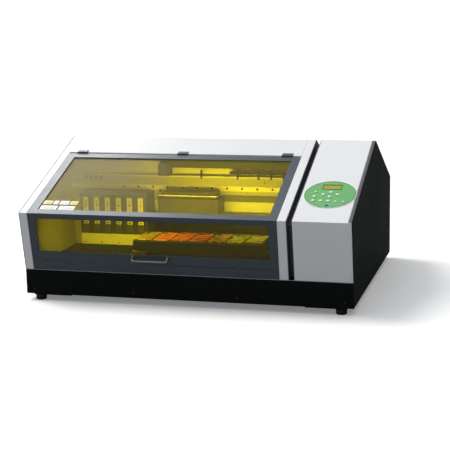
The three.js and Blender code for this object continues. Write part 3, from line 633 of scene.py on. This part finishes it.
def plate(size, corner, place, edge):
    """A flat plate with rounded corners."""
    piece = cube(size)
    choose(piece, "EDGE", upright)
    bpy.ops.mesh.bevel(offset=corner, segments=8, affect="EDGES")
    bpy.ops.object.mode_set(mode="OBJECT")
    soften(piece, edge)
    settle(piece, place)
    return piece


print("block makers ready")

# %% [markdown]
# ## Rods, prisms and rows of screws
# A rod stands on its place along Z. A row of screws is one head, copied to every place and joined.

# %% Makers for rods, prisms and screws


def turned(radius, height, place=IDENTITY, dish=0.0, rim=0.0, edge=0.4 * MM, sides=32):
    """A rod standing on its place along Z; its end can be dished inside a rim."""
    piece = drawn(bpy.ops.mesh.primitive_cylinder_add, vertices=sides, radius=radius, depth=height,
                  location=(0, 0, height / 2))
    settle(piece)
    if rim:
        recess(piece, faces_up, rim, (0, 0, -dish))
    soften(piece, edge)
    settle(piece, place)
    return piece


def joined(pieces):
    """Several meshes as one piece."""
    pick(*pieces)
    if len(pieces) > 1:
        bpy.ops.object.join()
    return bpy.context.active_object


def copies(source, places):
    """A piece at each place; the first drawing is used up."""
    made = []
    for place in places:
        twin = bpy.data.objects.new(source.name, source.data.copy())
        bpy.context.collection.objects.link(twin)
        settle(twin, place)
        made.append(twin)
    bpy.data.objects.remove(source)
    return joined(made)


def prism(outline, x_low, x_high, radius):
    """A flat plate drawn as a side view, from (y, z) corners, between two x."""
    piece = drawn(bpy.ops.mesh.primitive_circle_add, vertices=len(outline), radius=1, fill_type="NGON")
    for vertex, (y, z) in zip(piece.data.vertices, outline):
        vertex.co = (x_low, y, z)
    edit_all(piece)
    bpy.ops.mesh.extrude_region_move(TRANSFORM_OT_translate={"value": (x_high - x_low, 0, 0)})
    face_outward()
    soften(piece, radius)
    settle(piece)
    return piece


def screws(name, places, radius, body="chassis"):
    """Round heads with a socket, one mesh for the whole row."""
    head = turned(radius, radius * 0.55, rim=radius * 0.45, dish=radius * 0.35, edge=radius * 0.12, sides=20)
    register(copies(head, places), name, dark_steel, body)


def standing(x, y, z):
    return Matrix.Translation((x, y, z))


def facing_front(x, y, z):
    """A place whose Z points to the front of the machine."""
    return standing(x, y, z) @ Matrix.Rotation(math.radians(90), 4, "X")


def facing_back(x, y, z):
    return standing(x, y, z) @ Matrix.Rotation(math.radians(-90), 4, "X")


print("rod and screw makers ready")

# %% [markdown]
# ## Controls on the tower
# The push buttons are moulded caps with a dished top. Each stands where its frame node stands, square to
# the slope.

# %% Push buttons


def middle_of(node):
    low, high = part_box(node)
    return (low + high) / 2


def tilted_at(point, lift=0.0):
    """A place at a point, with Z square to the slope."""
    return Matrix.Translation(point + slope_out * lift) @ on_slope(0, 0).to_3x3().to_4x4()


BUTTON_LENGTH, BUTTON_DISH, BUTTON_EDGE = 9.6 * MM, 0.5 * MM, 0.7 * MM
BUTTON_RIM = 0.3  # of its radius
button_nodes = sorted(node for node in frame["nodes"] if node.startswith("button_"))
for node in button_nodes:
    low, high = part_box(node)
    radius = (high.x - low.x) / 2
    cap = turned(radius, BUTTON_LENGTH, tilted_at(middle_of(node), -BUTTON_LENGTH / 2),
                 rim=radius * BUTTON_RIM, dish=BUTTON_DISH, edge=BUTTON_EDGE)
    stand_in(cap, node + "_cap", blue_plastic if node == "button_enter" else button_plastic, node)
print("buttons", len(button_nodes))

# %% [markdown]
# ## Display
# The window is a thin glowing block. Its bezel is a larger block with the middle taken out.

# %% Display window and bezel
lcd = finish("display_glass", (0.33, 0.31, 0.01), 0.18, variation=0.25, grain=4000, relief=0.01,
             emission=0.25)
ring_ink = finish("dark_green_ink", (0.03, 0.16, 0.05), 0.4, variation=0.1)
halo_ink = finish("pale_rim_ink", (0.82, 0.9, 0.82), 0.4, variation=0.04)

disc_low, disc_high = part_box("control_panel")
disc_radius = (disc_high.x - disc_low.x) / 2
disc_middle = (disc_low + disc_high) / 2
display_low, display_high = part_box("display")
display_width = display_high.x - display_low.x
DISPLAY_HEIGHT, DISPLAY_RISE = 28 * MM, 49 * MM
BEZEL_LAP, BEZEL_RIM, BEZEL_HEIGHT = 4 * MM, 2 * MM, 1.8 * MM


def on_display(lift):
    """The display's middle, lifted off the slope."""
    return tilted_at(disc_middle) @ standing(0, DISPLAY_RISE, lift)


def bezel():
    """A frame: a block whose two sides are inset, the middle removed and the rim softened."""
    piece = cube((display_width + BEZEL_LAP, DISPLAY_HEIGHT + BEZEL_LAP, BEZEL_HEIGHT))
    choose(piece, "FACE", lambda face: abs(face.normal.z) > 0.9)
    bpy.ops.mesh.inset(thickness=BEZEL_RIM)
    bpy.ops.mesh.bridge_edge_loops()
    bpy.ops.object.mode_set(mode="OBJECT")
    soften(piece, 0.5 * MM)
    settle(piece, on_display(1 * MM))
    return piece


window = block((display_width - 1 * MM, DISPLAY_HEIGHT - 1 * MM, 4 * MM), 0.6 * MM, on_display(-1.7 * MM))
stand_in(window, "display_window", lcd, "display")
register(bezel(), "display_bezel", ring_ink)
print("display", round(display_width, 4))

# %% [markdown]
# ## Printing on the round overlay
# A dark ring closes the overlay inside a pale rim, and a small triangle points outward beyond each of
# the four arrow buttons.

# %% Overlay rings and arrows
RING_WIDTH, HALO_WIDTH, RING_FLATNESS = 1.2 * MM, 1.6 * MM, 0.4
ARROW_RADIUS, ARROW_DEPTH, ARROW_REACH = 3.2 * MM, 0.4 * MM, 10.5 * MM


def flat_ring(name, radius, thickness, lift, paint):
    """A flattened ring round the overlay's middle."""
    ring = drawn(bpy.ops.mesh.primitive_torus_add, major_radius=radius, minor_radius=thickness,
                 major_segments=96, minor_segments=10)
    ring.scale = (1, 1, RING_FLATNESS)
    settle(ring)
    bpy.ops.object.shade_smooth()
    settle(ring, tilted_at(disc_middle, lift))
    register(ring, name, paint)


def arrow_mark(side, dx, dy, turn):
    """A small printed triangle beside a button."""
    mark = drawn(bpy.ops.mesh.primitive_cylinder_add, vertices=3, radius=ARROW_RADIUS, depth=ARROW_DEPTH)
    settle(mark, Matrix.Rotation(turn, 4, "Z"))
    soften(mark, 0.1 * MM)
    settle(mark, tilted_at(middle_of(f"button_{side}"), -1.5 * MM) @ standing(dx, dy, 0))
    register(mark, f"arrow_{side}_mark", ring_ink)


flat_ring("overlay_ring", disc_radius - RING_WIDTH, RING_WIDTH, 0.8 * MM, ring_ink)
flat_ring("overlay_halo", disc_radius + HALO_WIDTH, HALO_WIDTH, 0.1 * MM, halo_ink)
ARROWS = {"up": (0, 1, 0), "down": (0, -1, 2), "left": (-1, 0, 1), "right": (1, 0, -1)}
for side, (dx, dy, quarters) in ARROWS.items():
    arrow_mark(side, dx * ARROW_REACH, dy * ARROW_REACH, quarters * math.pi / 2)
print("arrows", len(ARROWS))

# %% [markdown]
# ## Stepped turnings and bent rods
# A stepped turning is a stack of rings: each extrusion adds a step and each resize changes its radius. A
# bent rod is drawn as a curve with rounded corners and turned into a mesh.

# %% Stepped turnings and bent rods
TURNING_SIDES, CORNER_STEPS = 40, 8


def stepped(rings, place, edge):
    """A turning through (radius, height) rings, from the bottom up."""
    piece = drawn(bpy.ops.mesh.primitive_circle_add, vertices=TURNING_SIDES, radius=rings[0][0],
                  fill_type="NGON")
    edit_all(piece)
    bpy.ops.transform.translate(value=(0, 0, rings[0][1]))
    for (radius, height), (wider, higher) in zip(rings, rings[1:]):
        bpy.ops.mesh.extrude_region_move(TRANSFORM_OT_translate={"value": (0, 0, higher - height)})
        ratio = wider / radius
        bpy.ops.transform.resize(value=(ratio, ratio, 1), center_override=(0, 0, 0))
    face_outward()
    soften(piece, edge)
    settle(piece, place)
    return piece


def rounded(points, radius):
    """A path whose inner corners are replaced by short curves."""
    path = [points[0]]
    for before, corner, after in zip(points, points[1:], points[2:]):
        start = corner + (before - corner).normalized() * radius
        end = corner + (after - corner).normalized() * radius
        for i in range(CORNER_STEPS + 1):
            t = i / CORNER_STEPS
            path.append(start * (1 - t) ** 2 + corner * (2 * t * (1 - t)) + end * t ** 2)
    return path + [points[-1]]


def bent_rod(points, radius, corner):
    """A round rod along a path with rounded corners."""
    rod = drawn(bpy.ops.curve.primitive_nurbs_path_add)
    rod.data.splines.clear()
    path = rounded(points, corner)
    spline = rod.data.splines.new("POLY")
    spline.points.add(len(path) - 1)
    for point, place in zip(spline.points, path):
        point.co = (*place, 1)
    rod.data.bevel_depth = radius
    rod.data.bevel_resolution = 6
    rod.data.use_fill_caps = True
    pick(rod)
    bpy.ops.object.convert(target="MESH")
    rod = bpy.context.active_object
    bpy.ops.object.shade_smooth_by_angle(angle=SMOOTH_UP_TO)
    settle(rod)
    return rod


print("turning sides", TURNING_SIDES)

# %% [markdown]
# ## Feet
# The profile goes from the floor up: a chamfered sole, two grooves round the side and a soft shoulder.

# %% Rubber feet
# (share of the radius, share of the height)
FOOT_PROFILE = [(0.80, 0.0), (0.93, 0.10), (0.97, 0.16), (0.97, 0.26), (0.88, 0.30), (0.88, 0.36),
                (0.97, 0.40), (0.97, 0.52), (0.88, 0.56), (0.88, 0.62), (1.0, 0.67), (1.0, 0.92), (0.94, 1.0)]
FEET = [f"foot_{end}_{side}" for end in ("front", "rear") for side in ("left", "right")]
for node in FEET:
    low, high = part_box(node)
    middle, radius, height = (low + high) / 2, (high.x - low.x) / 2, high.z - low.z
    rings = [(radius * r, height * h) for r, h in FOOT_PROFILE]
    foot = stepped(rings, standing(middle.x, middle.y, low.z), 0.3 * MM)
    stand_in(foot, node + "_turned", foot_rubber, node)
print("feet", len(FEET))

# %% [markdown]
# ## Handle
# The rod leaves the face at two round plates and bends across between them, a little lower down.

# %% Bail handle
HANDLE_TOP, HANDLE_BAR, HANDLE_REACH, HANDLE_ROOT = 150.2 * MM, 162.1 * MM, 21.3 * MM, 0.5 * MM
HANDLE_INSET, HANDLE_RADIUS, HANDLE_CORNER = 4.5 * MM, 4.4 * MM, 9 * MM
handle_low, handle_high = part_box("handle")
handle_left, handle_right = handle_low.x + HANDLE_INSET, handle_high.x - HANDLE_INSET
bends = [(handle_left, HANDLE_TOP, HANDLE_ROOT), (handle_left, HANDLE_BAR, HANDLE_REACH),
         (handle_right, HANDLE_BAR, HANDLE_REACH), (handle_right, HANDLE_TOP, HANDLE_ROOT)]
handle = bent_rod([on_face(*bend).translation for bend in bends], HANDLE_RADIUS, HANDLE_CORNER)
stand_in(handle, "handle_rod", chrome, "handle")
plates = [turned(7.5 * MM, 2.2 * MM, on_face(x, HANDLE_TOP, -0.2 * MM), edge=0.8 * MM)
          for x in (handle_left, handle_right)]
register(joined(plates), "handle_plates", chrome, "front_cover")
print("handle", round(handle_right - handle_left, 4))

# %% [markdown]
# ## Bars on a front face
# Labels, strips and trims are bars set on a front face. Most stand proud of it by one depth and are
# rooted in it by another; a minus sign keeps a bar wholly in front of the face or wholly behind it.

# %% Makers for bars


def bar(x_range, front, depth, z_range, edge):
    """A bar on a front face; depth is how far it stands proud and how far it is rooted."""
    (x_low, x_high), (proud, root), (z_low, z_high) = x_range, depth, z_range
    return between((x_low, front - proud, z_low), (x_high, front + root, z_high), edge)


def trim(name, x_range, front, depth, z_range, edge, paint, body="chassis"):
    register(bar(x_range, front, depth, z_range, edge), name, paint, body)


def round_x(x, half):
    """The range of x that reaches half a width to both sides."""
    return x - half, x + half


print("bar makers ready")

# %% [markdown]
# ## Ink cartridges
# Each cartridge is a moulded case whose front face is recessed for a label. The label carries bars of
# the ink's colour, and grip ribs cross the case below it. Everything rides the cartridge's own body, so
# it comes along when the cartridge is drawn out.

# %% Cartridges with labels and grips
paper = finish("label_paper", (0.86, 0.85, 0.80), 0.5)
case_plastic = finish("cartridge_case", (0.10, 0.10, 0.095), 0.42, variation=0.15)
INKS = [(0.03, 0.03, 0.03), (0.42, 0.03, 0.05), (0.04, 0.04, 0.05), (0.05, 0.05, 0.04), (0.04, 0.03, 0.03),
        (0.55, 0.16, 0.02)]
CASE_RIM, CASE_RECESS, CASE_EDGE = 1.6 * MM, 1.1 * MM, 0.9 * MM
LABEL_SIDE, LABEL_FOOT, LABEL_HEAD = 2.4 * MM, 32 * MM, 4 * MM
# In millimetres: every third mark is a long one, and a wide one sits under them.
MARK_COUNT, MARK_FOOT, MARK_PITCH, MARK_LONG, MARK_SHORT = 9, 46, 9, 7, 3
WIDE_MARK = (6, 36, 4)
GRIP_COUNT, GRIP_FOOT, GRIP_PITCH, GRIP_HEIGHT, GRIP_SIDE = 4, 7, 5, 2, 4 * MM


def cartridge(i, colour):
    """One cartridge with its case, label, marks and grip."""
    node = f"ink_cartridge_{i}"
    low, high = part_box(node)
    middle = (low.x + high.x) / 2
    shell = cube_between(low, high)
    recess(shell, faces_front, CASE_RIM, (0, CASE_RECESS, 0))
    soften(shell, CASE_EDGE)
    stand_in(shell, f"cartridge_case_{i}", case_plastic, node)
    front = low.y + CASE_RECESS
    trim(f"cartridge_label_{i}", (low.x + LABEL_SIDE, high.x - LABEL_SIDE), front, (0.4 * MM, 0.2 * MM),
         (low.z + LABEL_FOOT, high.z - LABEL_HEAD), 0.1 * MM, paper, BODY_OF[node])
    ink = finish(f"ink_bar_{i}", colour, 0.4, variation=0.1)
    rows = [(3, MARK_FOOT + MARK_PITCH * k, MARK_SHORT if k % 3 else MARK_LONG) for k in range(MARK_COUNT)]
    marks = [bar(round_x(middle, half * MM), front, (0.7 * MM, 0),
                 (low.z + foot * MM, low.z + (foot + long) * MM), 0.15 * MM)
             for half, foot, long in (*rows, WIDE_MARK)]
    register(joined(marks), f"cartridge_mark_{i}", ink, BODY_OF[node])
    feet = [low.z + (GRIP_FOOT + GRIP_PITCH * k) * MM for k in range(GRIP_COUNT)]
    ribs = [bar((low.x + GRIP_SIDE, high.x - GRIP_SIDE), front, (1.6 * MM, 0.5 * MM),
                (foot, foot + GRIP_HEIGHT * MM), 0.5 * MM) for foot in feet]
    register(joined(ribs), f"cartridge_grip_{i}", case_plastic, BODY_OF[node])


for i, colour in enumerate(INKS, start=1):
    cartridge(i, colour)
print("cartridges", len(INKS))

# %% [markdown]
# ## Printed cases on the jig
# The cases on the jig are printed in two inks. One node group lays warped rings and blots of the second
# ink over the first, and each case sets its own pair of inks and its own scale.

# %% Printed patterns
BAND_WARP, BAND_DETAIL, BLOT_SCALE = 9, 3, 38.0


def printed_pattern():
    """Bands and blots of a second ink over the ground, from a warped wave and a noise."""
    inputs = [*SURFACE_INPUTS, ("Ink", "NodeSocketColor", (0.5, 0.1, 0.02, 1)),
              ("Scale", "NodeSocketFloat", 30.0)]
    tree, given, out = new_group("printed_pattern", inputs)
    bands = add(tree, "TexWave", {"Vector": given["Vector"], "Scale": given["Scale"], "Distortion": BAND_WARP,
                                  "Detail": BAND_DETAIL}, "Fac", wave_type="RINGS")
    blots = noise_in(tree, given["Vector"], BLOT_SCALE, 4)
    mottled = maths_in(tree, "ADD", bands, spread_in(tree, blots, -0.6, 0.6))
    share = spread_in(tree, mottled, -0.4, 1.4)
    mixed = add(tree, "Mix", {"Factor": share, "A": given["Color"], "B": given["Ink"]}, "Result",
                data_type="RGBA")
    feed(tree, out, {"Color": mixed, "Roughness": given["Roughness"], "Height": share})
    return tree


GROUPS["printed"] = printed_pattern()


def printed(name, ground, ink, scale):
    material = finish(name, ground, 0.3, effect="printed", relief=0.05)
    group = next(n for n in material.node_tree.nodes if n.type == "GROUP")
    feed(material.node_tree, group, {"Ink": (*ink, 1), "Scale": scale})
    return material


print("effects", sorted(GROUPS))

# %% [markdown]
# ## Seven cases in the jig
# The cases lie side by side at an even pitch, each with an opening near its rear left corner.

# %% Cases, jig rim and brass bracket
jig_low, jig_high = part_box("jig_tray")
CASE_PITCH, CASE_MARGIN, CASE_SIZE = 68.5 * MM, 5 * MM, (60 * MM, 138 * MM)
CASE_LAP, CASE_HEIGHT, CASE_CORNER = 1.6 * MM, 3.2 * MM, 9 * MM
OPENING_SIZE, OPENING_CORNER = (14 * MM, 22 * MM, 0.8 * MM), 5 * MM
OPENING_LEFT, OPENING_BACK = 17 * MM, 50 * MM  # from the middle of the case
case_y = (jig_low.y + jig_high.y) / 2
PRINTS = [((0.78, 0.62, 0.06), (0.14, 0.10, 0.03), 16), ((0.42, 0.04, 0.02), (0.85, 0.38, 0.06), 12),
          ((0.34, 0.03, 0.02), (0.85, 0.30, 0.05), 19), ((0.28, 0.02, 0.01), (0.80, 0.25, 0.04), 11),
          ((0.06, 0.04, 0.02), (0.85, 0.55, 0.05), 15), ((0.04, 0.07, 0.02), (0.60, 0.78, 0.08), 18),
          ((0.05, 0.06, 0.02), (0.72, 0.78, 0.10), 13)]
for i, (ground, ink, scale) in enumerate(PRINTS):
    case_x = jig_low.x + CASE_MARGIN + CASE_SIZE[0] / 2 + i * CASE_PITCH
    case = plate((CASE_SIZE[0] + CASE_LAP, CASE_SIZE[1] + CASE_LAP, CASE_HEIGHT), CASE_CORNER,
                 standing(case_x, case_y, jig_high.z - 0.2 * MM), 0.9 * MM)
    register(case, f"printed_case_{i + 1}", printed(f"case_print_{i + 1}", ground, ink, scale), "table")
    opening = plate(OPENING_SIZE, OPENING_CORNER,
                    standing(case_x - OPENING_LEFT, case_y + OPENING_BACK, jig_high.z + 1.5 * MM), 0.2 * MM)
    register(opening, f"case_opening_{i + 1}", black_plastic, "table")
trim("jig_rim", (jig_low.x + 1 * MM, jig_high.x - 1 * MM), jig_low.y, (0.6 * MM, 1 * MM),
     (jig_high.z - 4.6 * MM, jig_high.z - 3 * MM), 0.4 * MM, table_metal, "table")
plate_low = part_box("table_plate")[0]
brass = finish("brass_bracket", (0.62, 0.42, 0.12), 0.35, metallic=0.9, effect="brushed", grain=700,
               variation=0.15)
trim("brass_bracket", (plate_low.x - 6 * MM, plate_low.x + 55 * MM), plate_low.y, (0.5 * MM, 35 * MM),
     (155.5 * MM, 170.5 * MM), 1.2 * MM, brass, "table")
print("cases", len(PRINTS))

# %% [markdown]
# ## The beam's front
# A pale strip with dark screws runs along the beam, with a bright lip above it; the strip's pale colour is
# a painted highlight on the beam's face. A few spare screws are sunk in the beam, so that their heads stay
# clear of the carriage.

# %% Highlight strip, lip and screws
# This pale paint is a painted highlight on the beam strip and the hood line, partly painted light on the bay
# skirt, and it also colours the beam's lip.
pale_trim_and_highlight = finish("pale_trim_and_painted_highlight", (0.86, 0.84, 0.74), 0.4, effect="brushed", grain=600, variation=0.06)
brown_case = finish("brown_motor_case", (0.075, 0.045, 0.05), 0.5, variation=0.2)
beam_low, beam_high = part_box("gantry_beam")
beam_front = beam_low.y
chamber_low, chamber_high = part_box("chamber_liner")
BEAM_SCREWS, BEAM_FIRST, BEAM_PITCH, BEAM_SCREW_Z = 12, -0.357, 58.7 * MM, 0.3603
SPARE_SCREWS = [(-0.30, 0.385), (-0.02, 0.388), (0.13, 0.342), (0.20, 0.386), (0.29, 0.342)]
# Painted highlight: a pale strip with screws stands in for the light along the beam's face.
trim("beam_highlight_strip", (chamber_low.x + 2 * MM, chamber_high.x), beam_front, (0.5 * MM, 1 * MM),
     (350.5 * MM, 368.5 * MM), 0.3 * MM, pale_trim_and_highlight)
screws("beam_screws", [facing_front(BEAM_FIRST + i * BEAM_PITCH, beam_front - 0.4 * MM, BEAM_SCREW_Z)
                       for i in range(BEAM_SCREWS)], 4.2 * MM)
trim("beam_lip", (chamber_low.x + 2 * MM, chamber_high.x), beam_front, (3 * MM, 2 * MM),
     (beam_high.z - 4 * MM, beam_high.z + 1 * MM), 0.6 * MM, pale_trim_and_highlight)
screws("beam_spare_screws", [facing_front(x, beam_front + 1 * MM, z) for x, z in SPARE_SCREWS], 3 * MM)
print("beam screws", BEAM_SCREWS, "and", len(SPARE_SCREWS))

# %% [markdown]
# ## Above the beam
# Brackets, a cable channel and a small motor hang in front of the beam's upper edge.

# %% Hangers, channel and motor


def row_of_bars(name, middles, half, depth, z_range, edge):
    """Equal bars in front of the beam, as one piece."""
    bars = [bar(round_x(x, half), beam_front, depth, z_range, edge) for x in middles]
    register(joined(bars), name, dark_steel)


row_of_bars("cable_hangers", (-0.045, 0.097, 0.177, 0.225, 0.273), 3 * MM, (8 * MM, 3 * MM),
            (0.397, 0.430), 1 * MM)
trim("cable_channel", (0.065, 0.285), beam_front, (6 * MM, 2 * MM), (0.4165, 0.4255), 1.2 * MM, black_plastic)
motor = bar((-0.211, -0.163), beam_front, (22 * MM, 10 * MM), (0.4065, 0.4525), 3 * MM)
recess(motor, faces_front, 4 * MM, (0, 1.5 * MM, 0))
register(motor, "slide_motor", brown_case)
print("beam front", round(beam_front, 4))

# %% [markdown]
# ## Carriage
# The hood gets a pale line under its top edge, a painted highlight of the hood's front top edge, a raised
# panel between four screws, and a small flag on its roof. All of it slides with the carriage.

# %% Hood trims
hood_low, hood_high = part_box("carriage_hood")
hood_edges = (hood_low.x + 3 * MM, hood_high.x - 3 * MM)
# Painted highlight: a pale line under the hood's top stands in for the light on its front top edge.
trim("hood_highlight_line", hood_edges, hood_low.y, (1.2 * MM, 1 * MM), (hood_high.z - 12 * MM, hood_high.z - 9 * MM),
     0.5 * MM, pale_trim_and_highlight, "carriage")
trim("hood_flag", (hood_edges[0], hood_low.x + 12 * MM), hood_low.y, (-10 * MM, 20 * MM),
     (hood_high.z - 1 * MM, hood_high.z + 10 * MM), 1 * MM, black_plastic, "carriage")
trim("hood_panel", (hood_low.x + 30 * MM, hood_high.x - 30 * MM), hood_low.y, (1 * MM, 1 * MM),
     (hood_low.z + 14 * MM, hood_high.z - 22 * MM), 0.8 * MM, hood_paint, "carriage")
hood_corners = [(x, z) for x in (hood_low.x + 12 * MM, hood_high.x - 12 * MM)
                for z in (hood_low.z + 15 * MM, hood_high.z - 22 * MM)]
screws("hood_screws", [facing_front(x, hood_low.y - 0.2 * MM, z) for x, z in hood_corners], 3 * MM,
       "carriage")
print("hood screws", len(hood_corners))

# %% [markdown]
# ## Chamber wall and cartridge bay
# A thin plate closes the joint at the left end of the chamber, a few millimetres inside the face and the
# slope. A pale skirt and a dark step give the bay its lower front, and the skirt's pale colour is partly
# painted light on the wall below the bay. Tube fittings stand above the bay, and a dark plate across the
# back of the chamber above the beam is painted shade on the chamber's upper wall.

# %% Wall end, bay trims, fittings and painted shade plate
WALL_GAP, WALL_FLOOR_GAP = 4 * MM, 0.2 * MM
wall_front = chamber_low.y + 2 * MM
wall_foot = chamber_low.z + WALL_FLOOR_GAP
slope_rise = up_slope.z / up_slope.y
wall_outline = [(sill.x + WALL_GAP, wall_foot), (fold.x + WALL_GAP, fold.y - WALL_GAP / 2),
                (wall_front, fold.y + (wall_front - fold.x) * slope_rise - WALL_GAP), (wall_front, wall_foot)]
wall_end = prism(wall_outline, chamber_low.x + 0.4 * MM, chamber_low.x + 1.6 * MM, 0.2 * MM)
register(wall_end, "chamber_wall_end", chamber_paint)
bay_low, bay_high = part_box("cartridge_bay")
bay_foot = bay_low.z + 0.2 * MM
trim("bay_trim", (bay_low.x + 1 * MM, bay_high.x - 1 * MM), bay_low.y, (1.2 * MM, 1 * MM),
     (bay_high.z - 7 * MM, bay_high.z - 0.5 * MM), 0.5 * MM, rail_paint)
# The skirt carries screws; its pale colour is partly painted light, the lit wall below the bay.
trim("bay_skirt_with_painted_light", (bay_low.x - 0.5 * MM, bay_high.x + 0.5 * MM), bay_low.y, (2.2 * MM, -0.2 * MM),
     (bay_foot, bay_low.z + 66 * MM), 0.6 * MM, pale_trim_and_highlight)
SKIRT_SCREWS = (-0.49, -0.42, -0.35, -0.27)
screws("skirt_screws", [facing_front(x, bay_low.y - 2.1 * MM, bay_low.z + 32 * MM) for x in SKIRT_SCREWS],
       2.6 * MM)
trim("bay_step", (bay_low.x - 0.3 * MM, bay_high.x + 0.3 * MM), bay_low.y, (6 * MM, -2.1 * MM),
     (bay_foot, bay_low.z + 25 * MM), 1.2 * MM, deck_paint)
row_of_bars("tube_fittings", (-0.509, -0.490, -0.469, -0.451), 2 * MM, (9 * MM, 2 * MM),
            (0.385, 0.400), 0.8 * MM)
# Painted shade: a dark plate in front of the back wall above the beam darkens the chamber's upper wall.
trim("beam_painted_shade_plate", (-0.215, chamber_high.x - 2 * MM), chamber_high.y, (6.2 * MM, -2 * MM),
     (0.4335, 0.4585), 0.8 * MM, painted_shade_grey)
print("bay front", round(bay_low.y, 4))

# %% [markdown]
# ## Labels on the upper pane
# Six blank labels sit in two rows near the pane's lower left corner. Each is a dark backing, a coloured
# face and three plain lines where text would be.

# %% Blank labels


def highest(node, outward):
    """How far a node reaches out of a plane through the fold."""
    corner = Vector((0, *fold))
    return max((v.co - corner).dot(outward) for v in frame["nodes"][node].data.vertices)


pane_lift = highest("upper_pane", slope_out)
yellow_ink = finish("yellow_label_ink", (0.85, 0.66, 0.03), 0.45, variation=0.04)
white_ink = finish("white_label", (0.88, 0.88, 0.86), 0.45, variation=0.03)
LABEL_HEIGHT, LABEL_BORDER, LABEL_THICKNESS = 28 * MM, 1.2 * MM, 0.4 * MM
UPPER_ROW, LOWER_ROW = 83 * MM, 48 * MM  # up the slope from the fold
LABELS = [("upper_left", -0.518, UPPER_ROW, 0.036, yellow_ink),
          ("upper_middle", -0.486, UPPER_ROW, 0.020, white_ink),
          ("upper_right", -0.454, UPPER_ROW, 0.036, white_ink),
          ("upper_far", -0.418, UPPER_ROW, 0.030, yellow_ink),
          ("lower_left", -0.503, LOWER_ROW, 0.066, white_ink),
          ("lower_right", -0.434, LOWER_ROW, 0.062, white_ink)]
LINE_COUNT, LINE_LOWEST, LINE_PITCH = 3, -0.28, 0.19  # shares of the label's height
LINE_WIDTH, LINE_SHIFT = 0.62, 0.06  # shares of its width


def blank_label(name, x, along, width, paint):
    """A label with three plain lines."""
    backing = plate((width, LABEL_HEIGHT, LABEL_THICKNESS), 1.5 * MM,
                    on_slope(x, along, pane_lift + 0.1 * MM), 0.1 * MM)
    register(backing, f"label_edge_{name}", black_plastic, "front_cover")
    face = plate((width - 2 * LABEL_BORDER, LABEL_HEIGHT - 2 * LABEL_BORDER, LABEL_THICKNESS), 1 * MM,
                 on_slope(x, along, pane_lift + 0.4 * MM), 0.1 * MM)
    register(face, f"label_face_{name}", paint, "front_cover")
    lines = [block((width * LINE_WIDTH, 1.4 * MM, 0.3 * MM), 0.1 * MM,
                   on_slope(x + width * LINE_SHIFT, along + LABEL_HEIGHT * (LINE_LOWEST + k * LINE_PITCH),
                            pane_lift + 0.7 * MM)) for k in range(LINE_COUNT)]
    register(joined(lines), f"label_lines_{name}", black_plastic, "front_cover")


for label in LABELS:
    blank_label(*label)
print("labels", len(LABELS), "pane lift", round(pane_lift, 5))

# %% [markdown]
# ## Highlight bead, shade strips and outer screws
# A grey bead along the base's top front edge is a painted highlight, and two thin strips along the
# tower's right top edge are painted shade. Screws hold the rear panel and the plinth, and a blank plate
# sits on the back.

# %% Highlight bead, shade strips and screws
tray_low, tray_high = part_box("base_tray")
# Painted highlight: a grey bead along the base's top front edge stands in for the light on that edge.
trim("plinth_highlight_bead", (tray_low.x + 3 * MM, tray_high.x - 3 * MM), tray_low.y, (1.4 * MM, 1 * MM),
     (tray_high.z - 1.2 * MM, tray_high.z + 1 * MM), 0.8 * MM, grey_paint)
tower_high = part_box("tower_cover")[1]
# Painted shade: a dark grey and a paler grey band along the tower's right top edge stand in for the shaded
# turn of the cover down to the black side.
for name, start, width, paint in (("dark", 0, 9.5 * MM, painted_shade_grey), ("pale", 9.7 * MM, 3 * MM, grey_paint)):
    x = tower_high.x - start - width / 2
    shade_band = block((width, slope_length - 4 * MM, 0.9 * MM), 0.3 * MM,
                   on_slope(x, slope_length / 2, 0.2 * MM))
    register(shade_band, f"tower_painted_shade_{name}", paint)
back = tray_high.y
panel_low, panel_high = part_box("rear_panel")
SCREW_INSET, SCREW_COLUMNS, SCREW_RADIUS = 12 * MM, 9, 3.2 * MM
screw_pitch = (panel_high.x - panel_low.x - 2 * SCREW_INSET) / (SCREW_COLUMNS - 1)
rows = [facing_back(panel_low.x + SCREW_INSET + screw_pitch * i, back, z)
        for i in range(SCREW_COLUMNS) for z in (panel_low.z + SCREW_INSET, panel_high.z - 2 * SCREW_INSET)]
screws("rear_screws", rows, SCREW_RADIUS)
PLINTH_SCREWS, PLINTH_SCREW_Z = (-0.57, -0.19, 0.19, 0.57), 45 * MM
screws("plinth_screws", [facing_front(x, tray_low.y, PLINTH_SCREW_Z) for x in PLINTH_SCREWS], SCREW_RADIUS)
rating = plate((90 * MM, 50 * MM, 0.6 * MM), 4 * MM, facing_back(-0.30, back, 0.200), 0.1 * MM)
register(rating, "blank_rating_plate", table_metal)
print("rear screws", len(rows))
